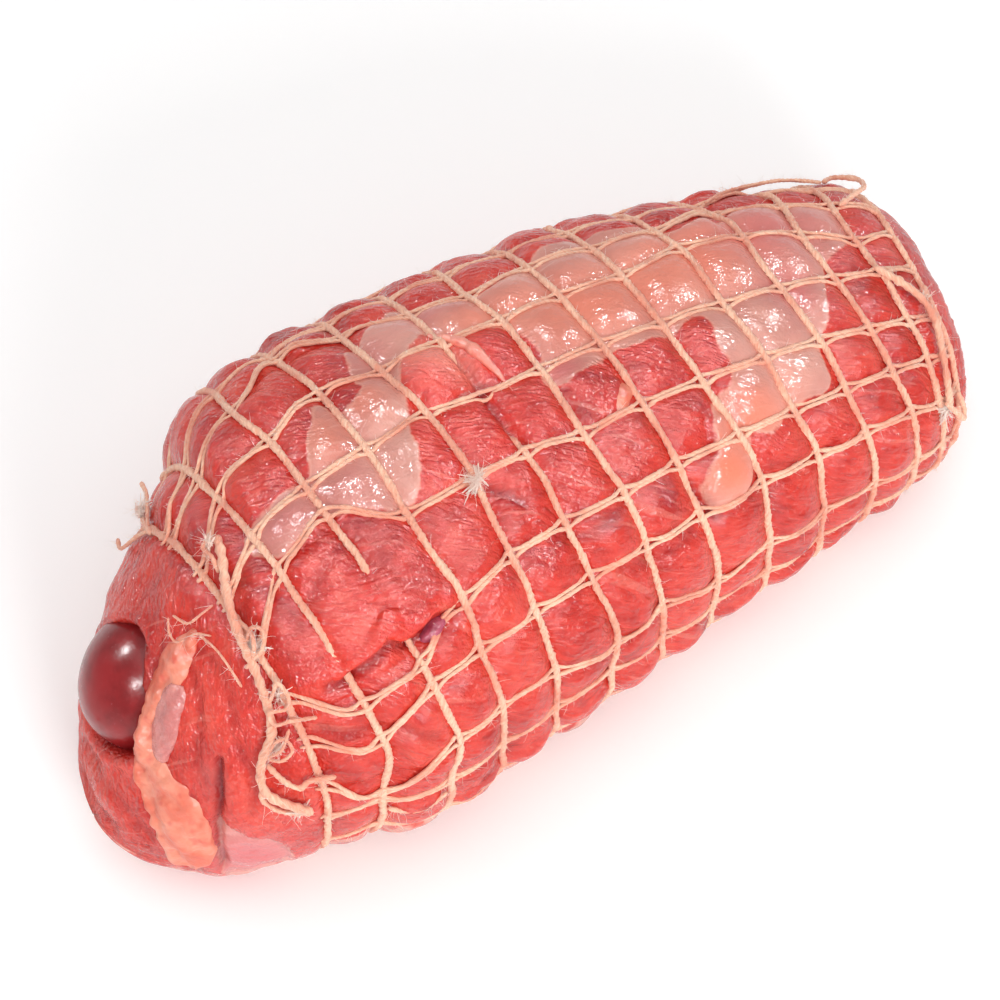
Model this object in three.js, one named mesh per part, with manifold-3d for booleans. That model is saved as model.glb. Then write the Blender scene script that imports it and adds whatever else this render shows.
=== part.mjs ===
// A raw veal kidney roast: boned loin rolled round its kidney and held in a knitted butcher's net.
// Millimetres, +Z up. X runs along the roll with the kidney end at -X, and Z = 0 is the underside.
// Angles round the roll are in degrees from the top, and grow towards -Y.
import * as THREE from 'three';
import { mergeVertices } from 'three/addons/utils/BufferGeometryUtils.js';
import Module from 'manifold-3d';

const wasm = await Module();
wasm.setup();

// The roll is laid out about its own axis, with x = 0 in the middle of its rings.
// These two bring the middle of its outline to the origin.
const MIDDLE_X = 15;
const MIDDLE_Y = 3;

// Half width, half height and sideways place of the section, as polynomials in x / REACH.
const REACH = 130;
const HALF_WIDTH = [62, -11.4, -8.2, -1.9];
const HALF_HEIGHT = [53.2, -13.5, -8.8];
const SIDE_SHIFT = [0, -0.1, -10.7];
const NEAR_SIDE_FROM = -136;
const UPPER_SQUARENESS = 2.24;
const LOWER_SQUARENESS = 2.4;
const AXIS_HEIGHT = 0.97;

// The kidney end bulges out past the net and droops to a blunt nose near the table.
const NEAR_TIP = { x: -162.5, height: 25, widthFrom: -90, widthPower: 1.8, topFrom: -97, topPower: 1.5 };
const NEAR_BELLY = { from: -125, power: 2 };
const NEAR_PINCH = { from: -78, length: 35, depth: 0.16 };

// The far end is cut off bluntly, with its back further out than its front.
const FAR_TIP = { x: 129, from: 101, power: 3 };
const FAR_LEAN = { fromRing: 10, slope: -1.2, most: -9 };
const NEAR_ROWS = 7;
const FAR_ROWS = 4;

// The back shoulder of the kidney end is drawn in by the net.
const SHOULDER = { angle: -50, from: -82, length: 28, depth: 9 };

// The net: stations of its rings, and the angle and drift of each strand that shows.
const RING_X = [-115, -100.5, -81.5, -63, -44, -25, -6, 13, 33, 53, 72, 90, 105.5, 118];
const SHOWN_STRANDS = [
  [-47, 1],
  [-32.5, 2.5],
  [-17.5, 1.5],
  [1, 4],
  [20, 7],
  [38.5, 3.5],
  [54.5, 4],
  [78, 11],
];
const STRAND_COUNT = 19;
const NET_CORD = { width: 2.2, height: 1.8, lift: 1.15 };

// How far the cords sink in, how far the meat swells between them, and the lowest place of a groove.
// At the far end, where the rings lie closer, it swells less.
const GROOVE = 1;
const SWELL = { most: 2.2, least: -0.2, fullTo: 9.5 };
const GROOVE_FLOOR = 3.2;

// The cosine of the angle from the top past which a cell counts as underneath.
const UNDERSIDE = -0.6;

// The loose cord that draws the net shut: its route along the meat, as stations and angles.
const TIE_CORD = { radius: 1.7, steps: 22, sides: 8, clearance: 0.8 };
const TIE_ROUTE = [
  [-106, -10],
  [-108, -4],
  [-112, 5],
  [-115, 15],
  [-117, 30],
  [-120, 43],
  [-126, 50],
  [-127, 60],
  [-119, 76],
];

// The kidney lies along the core of the roll and its lobe shows at the near end.
const KIDNEY = { tip: -153, length: 130, halfWidth: 18, halfHeight: 20, side: 0, height: 57 };
const KIDNEY_GRID = { sides: 20, rounds: 6 };

// The fat beside the kidney: the middle line of its section in Y and Z, its thickness, and where it runs.
const FAT_LINE = [[-14, 88], [-20, 78], [-28, 64], [-37, 50], [-43, 36]];
const FAT = { thickness: 12, from: -170, to: -40, points: 10 };

// Room left between pieces that touch.
const GAP = 0.35;

const RAD = Math.PI / 180;

function polynomial(terms, t) {
  return terms.reduceRight((sum, term) => sum * t + term, 0);
}

function smoothStep(value) {
  const t = Math.min(Math.max(value, 0), 1);
  return t * t * (3 - 2 * t);
}

// Falls from 1 at from to 0 at the tip, along a rounded nose.
function nose(x, from, tip, power) {
  const run = Math.min(Math.max((x - from) / (tip - from), 0), 1);
  return (1 - run ** power) ** (1 / power);
}

// The section at x: its half width, and the height of its top and bottom.
function sectionAt(x) {
  const t = x / REACH;
  const halfHeight = polynomial(HALF_HEIGHT, t);
  const pinch = 1 - NEAR_PINCH.depth * smoothStep((NEAR_PINCH.from - x) / NEAR_PINCH.length);
  const nearWidth = nose(x, NEAR_TIP.widthFrom, NEAR_TIP.x, NEAR_TIP.widthPower);
  const nearTop = nose(x, NEAR_TIP.topFrom, NEAR_TIP.x, NEAR_TIP.topPower);
  const nearBelly = nose(x, NEAR_BELLY.from, NEAR_TIP.x, NEAR_BELLY.power);
  const far = nose(x, FAR_TIP.from, FAR_TIP.x, FAR_TIP.power);
  const axis = halfHeight * AXIS_HEIGHT;
  const top = NEAR_TIP.height + (axis + halfHeight - NEAR_TIP.height) * nearTop;
  const bottom = NEAR_TIP.height + (axis - halfHeight - NEAR_TIP.height) * nearBelly;
  return {
    halfWidth: polynomial(HALF_WIDTH, t) * pinch * nearWidth * far,
    side: polynomial(SIDE_SHIFT, Math.max(x, NEAR_SIDE_FROM) / REACH),
    top: axis + (top - axis) * far,
    bottom: axis + (bottom - axis) * far,
  };
}

// A point of the roll's surface, raised by lift along the section's own outward direction.
function rollPoint(x, degrees, lift) {
  const section = sectionAt(x);
  const s = Math.sin(degrees * RAD);
  const c = Math.cos(degrees * RAD);
  const squareness = c > 0 ? UPPER_SQUARENESS : LOWER_SQUARENESS;
  const k = (Math.abs(s) ** squareness + Math.abs(c) ** squareness) ** (-1 / squareness);
  const facing = Math.max(Math.cos((degrees - SHOULDER.angle) * RAD), 0) ** 2;
  const drawn = SHOULDER.depth * facing * smoothStep((SHOULDER.from - x) / SHOULDER.length);
  const open = section.halfWidth / polynomial(HALF_WIDTH, x / REACH);
  const raise = lift - drawn * open;
  const halfWidth = section.halfWidth + raise;
  const halfHeight = (section.top - section.bottom) / 2 + raise;
  const axisZ = (section.top + section.bottom) / 2;
  return new THREE.Vector3(x, section.side - halfWidth * s * k, axisZ + halfHeight * c * k);
}

// The strands' angles at the middle of the roll, with their drift towards the far end.
// Those on the far side and underneath are spread evenly over what the shown ones leave.
function strandAngles() {
  const strands = SHOWN_STRANDS.map(([angle, drift]) => ({ angle, drift }));
  const first = strands[0];
  const last = strands[strands.length - 1];
  const hidden = STRAND_COUNT - strands.length;
  for (let i = 1; i <= hidden; i++) {
    const share = i / (hidden + 1);
    strands.push({
      angle: last.angle + (360 + first.angle - last.angle) * share,
      drift: last.drift + (first.drift - last.drift) * share,
    });
  }
  return strands;
}

const STRANDS = strandAngles();

// Lines of the meat's grid round the roll: every strand, and what lies between neighbours.
// Underneath, two lines between them give each swelling the flat face that it rests on.
function gridColumns() {
  return STRANDS.flatMap((strand, i) => {
    const next = STRANDS[(i + 1) % STRAND_COUNT];
    const wrap = i + 1 === STRAND_COUNT ? 360 : 0;
    const underneath = Math.cos(((strand.angle + next.angle + wrap) / 2) * RAD) < UNDERSIDE;
    const shares = underneath ? [0, 1 / 3, 2 / 3] : [0, 1 / 2];
    return shares.map((share) => ({
      angle: strand.angle + (next.angle + wrap - strand.angle) * share,
      drift: strand.drift + (next.drift - strand.drift) * share,
      cord: share === 0,
      strand: i,
      share,
    }));
  });
}

// Lines of the meat's grid across the roll: the near end, every ring with two lines between, the far end.
function gridRows() {
  const rows = [];
  const lastRing = RING_X.length - 1;
  const endRow = (tip, ring, share) => {
    const open = 1 - Math.cos(share * 90 * RAD);
    rows.push({ x: tip + (RING_X[ring] - tip) * open, ring, cord: false, netted: false });
  };
  for (let i = 1; i <= NEAR_ROWS; i++) {
    endRow(NEAR_TIP.x, 0, i / (NEAR_ROWS + 1));
  }
  RING_X.forEach((x, ring) => {
    rows.push({ x, ring, cord: true, netted: true });
    if (ring < lastRing) {
      const step = (RING_X[ring + 1] - x) / 3;
      rows.push({ x: x + step, ring: ring + 1 / 3, cord: false, netted: true });
      rows.push({ x: x + 2 * step, ring: ring + 2 / 3, cord: false, netted: true });
    }
  });
  for (let i = FAR_ROWS; i >= 1; i--) {
    endRow(FAR_TIP.x, lastRing, i / (FAR_ROWS + 1));
  }
  return rows;
}

// The last rings lean over: their front is nearer to the kidney end than their back.
function leanOf(ring) {
  return Math.max(FAR_LEAN.slope * Math.max(ring - FAR_LEAN.fromRing, 0) ** 2, FAR_LEAN.most);
}

// A point of the grid, where a row crosses a column.
function gridPoint(row, column, lift) {
  const degrees = column.angle + column.drift * (row.x / REACH);
  const point = rollPoint(row.x, degrees, lift);
  const open = sectionAt(row.x).halfWidth / polynomial(HALF_WIDTH, row.x / REACH);
  point.x += leanOf(row.ring) * Math.sin(degrees * RAD) * open;
  return point;
}

// Where the middle line of a cord groove crosses another, in the meat's surface.
function grooveCrossing(ring, strand) {
  const point = gridPoint({ x: RING_X[ring], ring }, STRANDS[strand % STRAND_COUNT], -GROOVE);
  point.z = Math.max(point.z, GROOVE_FLOOR);
  return point;
}

// How far the meat swells beside a ring.
function swellOf(ring) {
  const share = Math.max(ring - SWELL.fullTo, 0) / (RING_X.length - 1 - SWELL.fullTo);
  return SWELL.most + (SWELL.least - SWELL.most) * share;
}

// A groove runs straight from one crossing to the next, as the taut cord in it does.
function groovePoint(row, column) {
  const ring = Math.floor(row.ring + 1e-6);
  const ringShare = row.ring - ring;
  const start = grooveCrossing(ring, column.strand);
  if (row.cord && column.cord) {
    return start;
  }
  const end = row.cord ? grooveCrossing(ring, column.strand + 1) : grooveCrossing(ring + 1, column.strand);
  return start.lerp(end, row.cord ? column.share : ringShare);
}

// The meat starts as a sphere whose rows and columns are laid on the grid.
function meatGeometry() {
  const rows = gridRows();
  const columns = gridColumns();
  const sphere = new THREE.SphereGeometry(1, columns.length, rows.length + 1);
  const position = sphere.getAttribute('position');
  const across = columns.length + 1;
  for (let i = 0; i < position.count; i++) {
    const line = Math.floor(i / across);
    if (line === 0 || line === rows.length + 1) {
      const point = rollPoint(line === 0 ? NEAR_TIP.x : FAR_TIP.x, 0, 0);
      position.setXYZ(i, point.x, point.y, point.z);
      continue;
    }
    const row = rows[line - 1];
    const column = columns[(across - 1 - (i % across)) % columns.length];
    const sunk = row.netted && (row.cord || column.cord);
    const lift = row.netted ? swellOf(row.ring) : 0;
    const point = sunk ? groovePoint(row, column) : gridPoint(row, column, lift);
    position.setXYZ(i, point.x, point.y, Math.max(point.z, 0));
  }
  return sphere;
}

// A closed solid for joining and cutting, from any geometry whose seams lie together.
function solidOf(geometry) {
  const bare = geometry.clone();
  bare.deleteAttribute('normal');
  bare.deleteAttribute('uv');
  const merged = mergeVertices(bare, 1e-4);
  const vertProperties = new Float32Array(merged.getAttribute('position').array);
  const triVerts = new Uint32Array(merged.index.array);
  const mesh = new wasm.Mesh({ numProp: 3, vertProperties, triVerts });
  mesh.merge();
  return new wasm.Manifold(mesh);
}

function geometryOf(solid) {
  const { vertProperties, triVerts } = solid.getMesh();
  const geometry = new THREE.BufferGeometry();
  geometry.setAttribute('position', new THREE.BufferAttribute(vertProperties, 3));
  geometry.setIndex(new THREE.BufferAttribute(triVerts, 1));
  geometry.computeVertexNormals();
  return geometry;
}

// The kidney: a capsule laid along X, a little flattened sideways, larger all round by margin.
function kidneyGeometry(margin) {
  const straight = KIDNEY.length / KIDNEY.halfHeight - 2;
  const capsule = new THREE.CapsuleGeometry(1, straight, KIDNEY_GRID.rounds, KIDNEY_GRID.sides);
  capsule.rotateZ(90 * RAD);
  const along = (KIDNEY.length + 2 * margin) / (straight + 2);
  capsule.scale(along, KIDNEY.halfWidth + margin, KIDNEY.halfHeight + margin);
  capsule.translate(KIDNEY.tip + KIDNEY.length / 2, KIDNEY.side, KIDNEY.height);
  return capsule;
}

// The fat: a curved strip seen along X, drawn out along the kidney, larger all round by margin.
function fatGeometry(margin) {
  const half = FAT.thickness / 2 + margin;
  const middle = new THREE.SplineCurve(FAT_LINE.map(([y, z]) => new THREE.Vector2(y, z)));
  const edge = (side) => middle.getPoints(FAT.points).map((point, i) => {
    const along = middle.getTangent(i / FAT.points);
    const end = margin * (Number(i === FAT.points) - Number(i === 0));
    return new THREE.Vector2(
      point.x + along.x * end - along.y * half * side,
      point.y + along.y * end + along.x * half * side,
    );
  });
  const outline = new THREE.Shape([...edge(1), ...edge(-1).reverse()]);
  const depth = FAT.to - FAT.from + margin;
  const strip = new THREE.ExtrudeGeometry(outline, { depth, bevelEnabled: false });
  const basis = new THREE.Matrix4().makeBasis(
    new THREE.Vector3(0, 1, 0),
    new THREE.Vector3(0, 0, 1),
    new THREE.Vector3(1, 0, 0),
  );
  strip.applyMatrix4(basis);
  strip.translate(FAT.from, 0, 0);
  return strip;
}

// The four corners under a net crossing and the top of the cord over it.
function netCrossing(ring, strand) {
  const lastRing = RING_X.length - 1;
  const here = grooveCrossing(ring, strand);
  const along = grooveCrossing(Math.min(ring + 1, lastRing), strand)
    .sub(grooveCrossing(Math.max(ring - 1, 0), strand)).normalize();
  const round = grooveCrossing(ring, strand + 1)
    .sub(grooveCrossing(ring, strand + STRAND_COUNT - 1)).normalize();
  const out = new THREE.Vector3().crossVectors(round, along).normalize();
  here.addScaledVector(out, NET_CORD.lift);
  const corner = (alongSide, roundSide) => here.clone()
    .addScaledVector(along, (alongSide * NET_CORD.width) / 2)
    .addScaledVector(round, (roundSide * NET_CORD.width) / 2);
  return {
    ahead: { left: corner(1, -1), right: corner(1, 1) },
    behind: { left: corner(-1, -1), right: corner(-1, 1) },
    top: here.clone().addScaledVector(out, NET_CORD.height),
  };
}

// The knitted net as one lattice: ridged cords that run straight between the crossings.
function netGeometry() {
  const vertices = [];
  const face = (...points) => {
    for (let i = 2; i < points.length; i++) {
      [points[0], points[i], points[i - 1]].forEach((point) => vertices.push(point.x, point.y, point.z));
    }
  };
  const crossings = RING_X.map((_, ring) => STRANDS.map((__, strand) => netCrossing(ring, strand)));
  crossings.forEach((row, ring) => row.forEach((here, strand) => {
    const beside = row[(strand + 1) % STRAND_COUNT];
    const next = crossings[ring + 1]?.[strand];
    face(here.ahead.left, here.behind.left, here.behind.right, here.ahead.right);
    face(here.ahead.right, here.behind.right, beside.behind.left, beside.ahead.left);
    face(here.top, here.ahead.right, beside.ahead.left, beside.top);
    face(here.behind.right, here.top, beside.top, beside.behind.left);
    if (next) {
      face(next.behind.left, here.ahead.left, here.ahead.right, next.behind.right);
      face(here.ahead.left, next.behind.left, next.top, here.top);
      face(next.behind.right, here.ahead.right, here.top, next.top);
    } else {
      face(here.ahead.right, here.top, here.ahead.left);
    }
    if (ring === 0) {
      face(here.behind.left, here.top, here.behind.right);
    }
  }));
  const geometry = new THREE.BufferGeometry();
  geometry.setAttribute('position', new THREE.Float32BufferAttribute(vertices, 3));
  return mergeVertices(geometry, 1e-4);
}

// The tie cord, laid over the net and the meat.
function tieCordGeometry() {
  const over = NET_CORD.lift + NET_CORD.height - GROOVE + TIE_CORD.clearance + TIE_CORD.radius;
  const route = new THREE.CatmullRomCurve3(TIE_ROUTE.map(([x, degrees]) => rollPoint(x, degrees, over)));
  const section = new THREE.Shape();
  section.absarc(0, 0, TIE_CORD.radius, 0, 2 * Math.PI);
  return new THREE.ExtrudeGeometry(section, {
    steps: TIE_CORD.steps,
    curveSegments: TIE_CORD.sides / 2,
    extrudePath: route,
  });
}

const roast = new THREE.Group();
roast.position.set(MIDDLE_X, MIDDLE_Y, 0);

function addPiece(name, geometry, color, roughness) {
  const material = new THREE.MeshStandardMaterial({ color, roughness, metalness: 0 });
  const piece = new THREE.Mesh(geometry, material);
  piece.name = name;
  roast.add(piece);
}

const roll = solidOf(meatGeometry());
const kidneyRoom = solidOf(kidneyGeometry(GAP));
const fat = solidOf(fatGeometry(0)).intersect(roll).subtract(kidneyRoom);
const meat = roll.subtract(kidneyRoom).subtract(solidOf(fatGeometry(GAP)));

addPiece('veal_roll', geometryOf(meat), 0xc9473d, 0.4);
addPiece('kidney', kidneyGeometry(0), 0x5e1a1c, 0.25);
addPiece('kidney_fat', geometryOf(fat), 0xe79a7c, 0.35);
addPiece('net', netGeometry(), 0xe8c3a0, 0.9);
addPiece('tie_cord', tieCordGeometry(), 0xe8c3a0, 0.9);

export default roast;
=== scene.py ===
"""A raw veal kidney roast in its knitted net: the looks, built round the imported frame.

The shapes are worked out in millimetres and written in metres. A place on the roll is a station along it
and an angle round it, in degrees from the top and growing towards the front, as in the frame's own source.
"""
import logging
import math
from collections.abc import Callable
from dataclasses import dataclass, field
from enum import Enum

import bmesh
import bpy
import numpy as np
from mathutils import Matrix, Vector
from mathutils.bvhtree import BVHTree


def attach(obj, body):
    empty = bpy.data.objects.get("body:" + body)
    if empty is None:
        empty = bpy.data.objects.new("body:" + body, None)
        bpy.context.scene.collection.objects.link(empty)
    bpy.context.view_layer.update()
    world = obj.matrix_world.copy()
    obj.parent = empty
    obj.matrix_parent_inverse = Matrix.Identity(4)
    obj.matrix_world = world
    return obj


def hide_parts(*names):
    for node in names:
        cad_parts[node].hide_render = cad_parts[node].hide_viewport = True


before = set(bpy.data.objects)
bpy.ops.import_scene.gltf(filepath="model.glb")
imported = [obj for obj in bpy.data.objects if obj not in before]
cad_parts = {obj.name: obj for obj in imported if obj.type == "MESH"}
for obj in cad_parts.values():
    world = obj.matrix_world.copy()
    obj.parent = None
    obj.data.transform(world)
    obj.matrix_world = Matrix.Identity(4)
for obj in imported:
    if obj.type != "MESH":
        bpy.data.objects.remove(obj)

MM = 0.001
FULL_TURN = 360.0
BODY = "root"
Array = np.ndarray
Placer = Callable[[Array], tuple[Array, Array]]
Point = tuple[float, float, float]
Route = tuple[Point, ...]
Colour = tuple[float, float, float, float]
log = logging.getLogger("roast")


class Slot(Enum):
    """The material slots."""

    VEAL = "veal"
    SILVERSKIN = "silverskin"
    KIDNEY = "kidney"
    FAT = "kidney_fat"
    CORD = "net_cord"


class Mark(Enum):
    """What is painted on the meat, each as an attribute of its mesh."""

    MEMBRANE = "membrane"
    PEACH = "peach"
    LILAC = "lilac"
    BRIGHT = "bright"
    # painted shade in the creases, the hollows, the kidney's pocket and under the flap
    GLOOM = "gloom"
    PALE = "pale"
    END = "end"


def smooth_step(value: Array) -> Array:
    """Rises smoothly from 0 to 1 as the value does."""
    t = np.clip(value, 0, 1)
    return t * t * (3 - 2 * t)


def unit(vectors: Array) -> Array:
    """The same directions with a length of 1."""
    return vectors / np.maximum(np.linalg.norm(vectors, axis=-1, keepdims=True), 1e-12)


def spline(points: Array, per_span: int, closed: bool = False) -> Array:
    """A smooth curve through points.

    Args:
        points: The places that it passes, one in each row.
        per_span: How many places it gives for each span.
        closed: Whether it comes back to its start.

    Returns:
        The places along it.
    """
    p = np.asarray(points, float)
    if closed:
        p = np.concatenate([p[-1:], p, p[:2]])
    else:
        p = np.concatenate([2 * p[:1] - p[1:2], p, 2 * p[-1:] - p[-2:-1]])
    t = (np.arange(per_span) / per_span)[None, :, None]
    a, b, c, d = p[:-3, None], p[1:-2, None], p[2:-1, None], p[3:, None]
    curve = b + t * (c - a) / 2 + t**2 * (a - 2.5 * b + 2 * c - d / 2) + t**3 * (d - a + 3 * (b - c)) / 2
    curve = curve.reshape(-1, p.shape[1])
    return curve if closed else np.concatenate([curve, p[-2:-1]])


def smoothed(values: Array, reach: int) -> Array:
    """The same run of numbers with its short ups and downs evened out."""
    kernel = np.hanning(reach + 2)[1:-1]
    return np.convolve(np.pad(values, reach // 2, mode="edge"), kernel / kernel.sum(), mode="valid")


def evenly(points: Array, step: float) -> Array:
    """The same line with its places a step apart."""
    run = np.concatenate([[0], np.cumsum(np.linalg.norm(np.diff(points[:, :3], axis=0), axis=1))])
    count = max(int(run[-1] / step) + 1, 4)
    at = np.linspace(0, run[-1], count)
    return np.stack([np.interp(at, run, points[:, i]) for i in range(points.shape[1])], -1)


class Grain:
    """Seeded value noise on a lattice that repeats."""

    def __init__(self, seed: int, size: int = 32) -> None:
        """Draws the lattice's values."""
        self.size = size
        self.values = np.random.default_rng(seed).random((size, size, size))

    def at(self, places: Array) -> Array:
        """The noise, from -1 to 1, at places given in lattice steps."""
        cell = np.floor(places).astype(int)
        t = places - cell
        t = t * t * (3 - 2 * t)
        total = np.zeros(places.shape[:-1])
        for corner in np.ndindex(2, 2, 2):
            weight = np.prod(np.where(corner, t, 1 - t), axis=-1)
            i, j, k = np.moveaxis((cell + corner) % self.size, -1, 0)
            total += weight * self.values[i, j, k]
        return 2 * total - 1

    def layered(self, places: Array, layers: int = 3) -> Array:
        """Several layers of the noise, each twice as fine and half as strong."""
        return sum(self.at(places * 2**i + 7.3 * i) / 2**i for i in range(layers))


@dataclass(frozen=True)
class Nose:
    """A rounded nose of the roll: where it starts, where its tip is, and how blunt it is."""

    start: float
    tip: float
    power: float

    def opened(self, x: Array) -> Array:
        """How open the nose is, from 0 at its tip to 1 where it starts."""
        run = np.clip((x - self.start) / (self.tip - self.start), 0, 1)
        return (1 - run**self.power) ** (1 / self.power)

    def stations(self, count: int) -> Array:
        """Stations at which it opens evenly."""
        opened = np.linspace(0, 1, count)
        return self.start + (self.tip - self.start) * (1 - opened**self.power) ** (1 / self.power)


@dataclass(frozen=True)
class RollShape:
    """The roll's own outline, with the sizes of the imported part."""

    reach: float = 130.0
    half_width: tuple[float, ...] = (62.0, -11.4, -8.2, -1.9)
    half_height: tuple[float, ...] = (53.2, -13.5, -8.8)
    side_shift: tuple[float, ...] = (0.0, -0.1, -10.7)
    near_side_from: float = -136.0
    upper_squareness: float = 2.24
    lower_squareness: float = 2.4
    axis_height: float = 0.97
    tip_height: float = 25.0
    near_width: Nose = Nose(-90.0, -162.5, 1.8)
    near_top: Nose = Nose(-97.0, -162.5, 1.5)
    near_belly: Nose = Nose(-125.0, -162.5, 2.0)
    far: Nose = Nose(101.0, 129.0, 3.0)
    pinch_from: float = -78.0
    pinch_length: float = 35.0
    pinch_depth: float = 0.16
    shoulder_angle: float = -50.0
    shoulder_from: float = -82.0
    shoulder_length: float = 28.0
    shoulder_depth: float = 9.0
    ring_x: tuple[float, ...] = (-115, -100.5, -81.5, -63, -44, -25, -6, 13, 33, 53, 72, 90, 105.5, 118)
    lean_from_ring: float = 10.0
    lean_slope: float = -1.2
    lean_most: float = -9.0
    middle: tuple[float, float] = (15.0, 3.0)

    def section(self, x: Array) -> tuple[Array, Array, Array, Array, Array]:
        """The section at stations.

        Args:
            x: The stations.

        Returns:
            Half width, sideways place, top, bottom, and how open the section is.
        """
        t = x / self.reach
        polynomial = np.polynomial.polynomial.polyval
        half_height = polynomial(t, self.half_height)
        pinch = 1 - self.pinch_depth * smooth_step((self.pinch_from - x) / self.pinch_length)
        far = self.far.opened(x)
        axis = half_height * self.axis_height
        top = self.tip_height + (axis + half_height - self.tip_height) * self.near_top.opened(x)
        bottom = self.tip_height + (axis - half_height - self.tip_height) * self.near_belly.opened(x)
        full = polynomial(t, self.half_width)
        width = full * pinch * self.near_width.opened(x) * far
        side = polynomial(np.maximum(x, self.near_side_from) / self.reach, self.side_shift)
        return width, side, axis + (top - axis) * far, axis + (bottom - axis) * far, width / full

    def surface(self, x: Array, degrees: Array) -> Array:
        """Places on the roll, in the frame of the part."""
        width, side, top, bottom, opened = self.section(x)
        angle = np.radians(degrees)
        s, c = np.sin(angle), np.cos(angle)
        power = np.where(c > 0, self.upper_squareness, self.lower_squareness)
        k = (np.abs(s) ** power + np.abs(c) ** power) ** (-1 / power)
        facing = np.maximum(np.cos(angle - math.radians(self.shoulder_angle)), 0) ** 2
        shoulder = smooth_step((self.shoulder_from - x) / self.shoulder_length)
        drawn = self.shoulder_depth * facing * shoulder * opened
        past = np.maximum(self.ring_at(x) - self.lean_from_ring, 0)
        lean = np.maximum(self.lean_slope * past**2, self.lean_most)
        y = side - (width - drawn) * s * k
        z = (top + bottom) / 2 + ((top - bottom) / 2 - drawn) * c * k
        return np.stack([x + lean * s * opened + self.middle[0], y + self.middle[1], z], -1)

    def outward(self, x: Array, degrees: Array) -> Array:
        """Directions straight out of the roll, away from its two tips."""
        along = self.surface(x + 0.5, degrees) - self.surface(x - 0.5, degrees)
        around = self.surface(x, degrees - 0.5) - self.surface(x, degrees + 0.5)
        return unit(np.cross(along, around))

    def ring_at(self, x: Array) -> Array:
        """The number of the ring at stations, with shares between rings."""
        return np.interp(x, self.ring_x, np.arange(len(self.ring_x)))

    def girth(self, x: Array) -> Array:
        """Millimetres round the roll for each degree."""
        width, _, top, bottom, _ = self.section(x)
        return (width + (top - bottom) / 2) / 2 * math.pi / 180

    def stations(self, count: int) -> Array:
        """Stations from tip to tip, evenly spaced along the surface."""
        between = np.linspace(self.near_top.tip, self.far.tip, 1500)
        x = np.unique(np.concatenate([self.near_width.stations(700), between, self.far.stations(700)]))
        width, _, top, bottom, _ = self.section(x)
        step = np.hypot(np.diff(x), np.maximum(np.abs(np.diff(width)), np.abs(np.diff(top))))
        run = np.concatenate([[0], np.cumsum(step)])
        return np.interp(np.linspace(0, run[-1], count), run, x)


@dataclass(frozen=True)
class Pull:
    """A crossing of the net that is drawn aside, by millimetres along the roll and degrees round it."""

    ring: int
    strand: int
    along: float
    around: float


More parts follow.
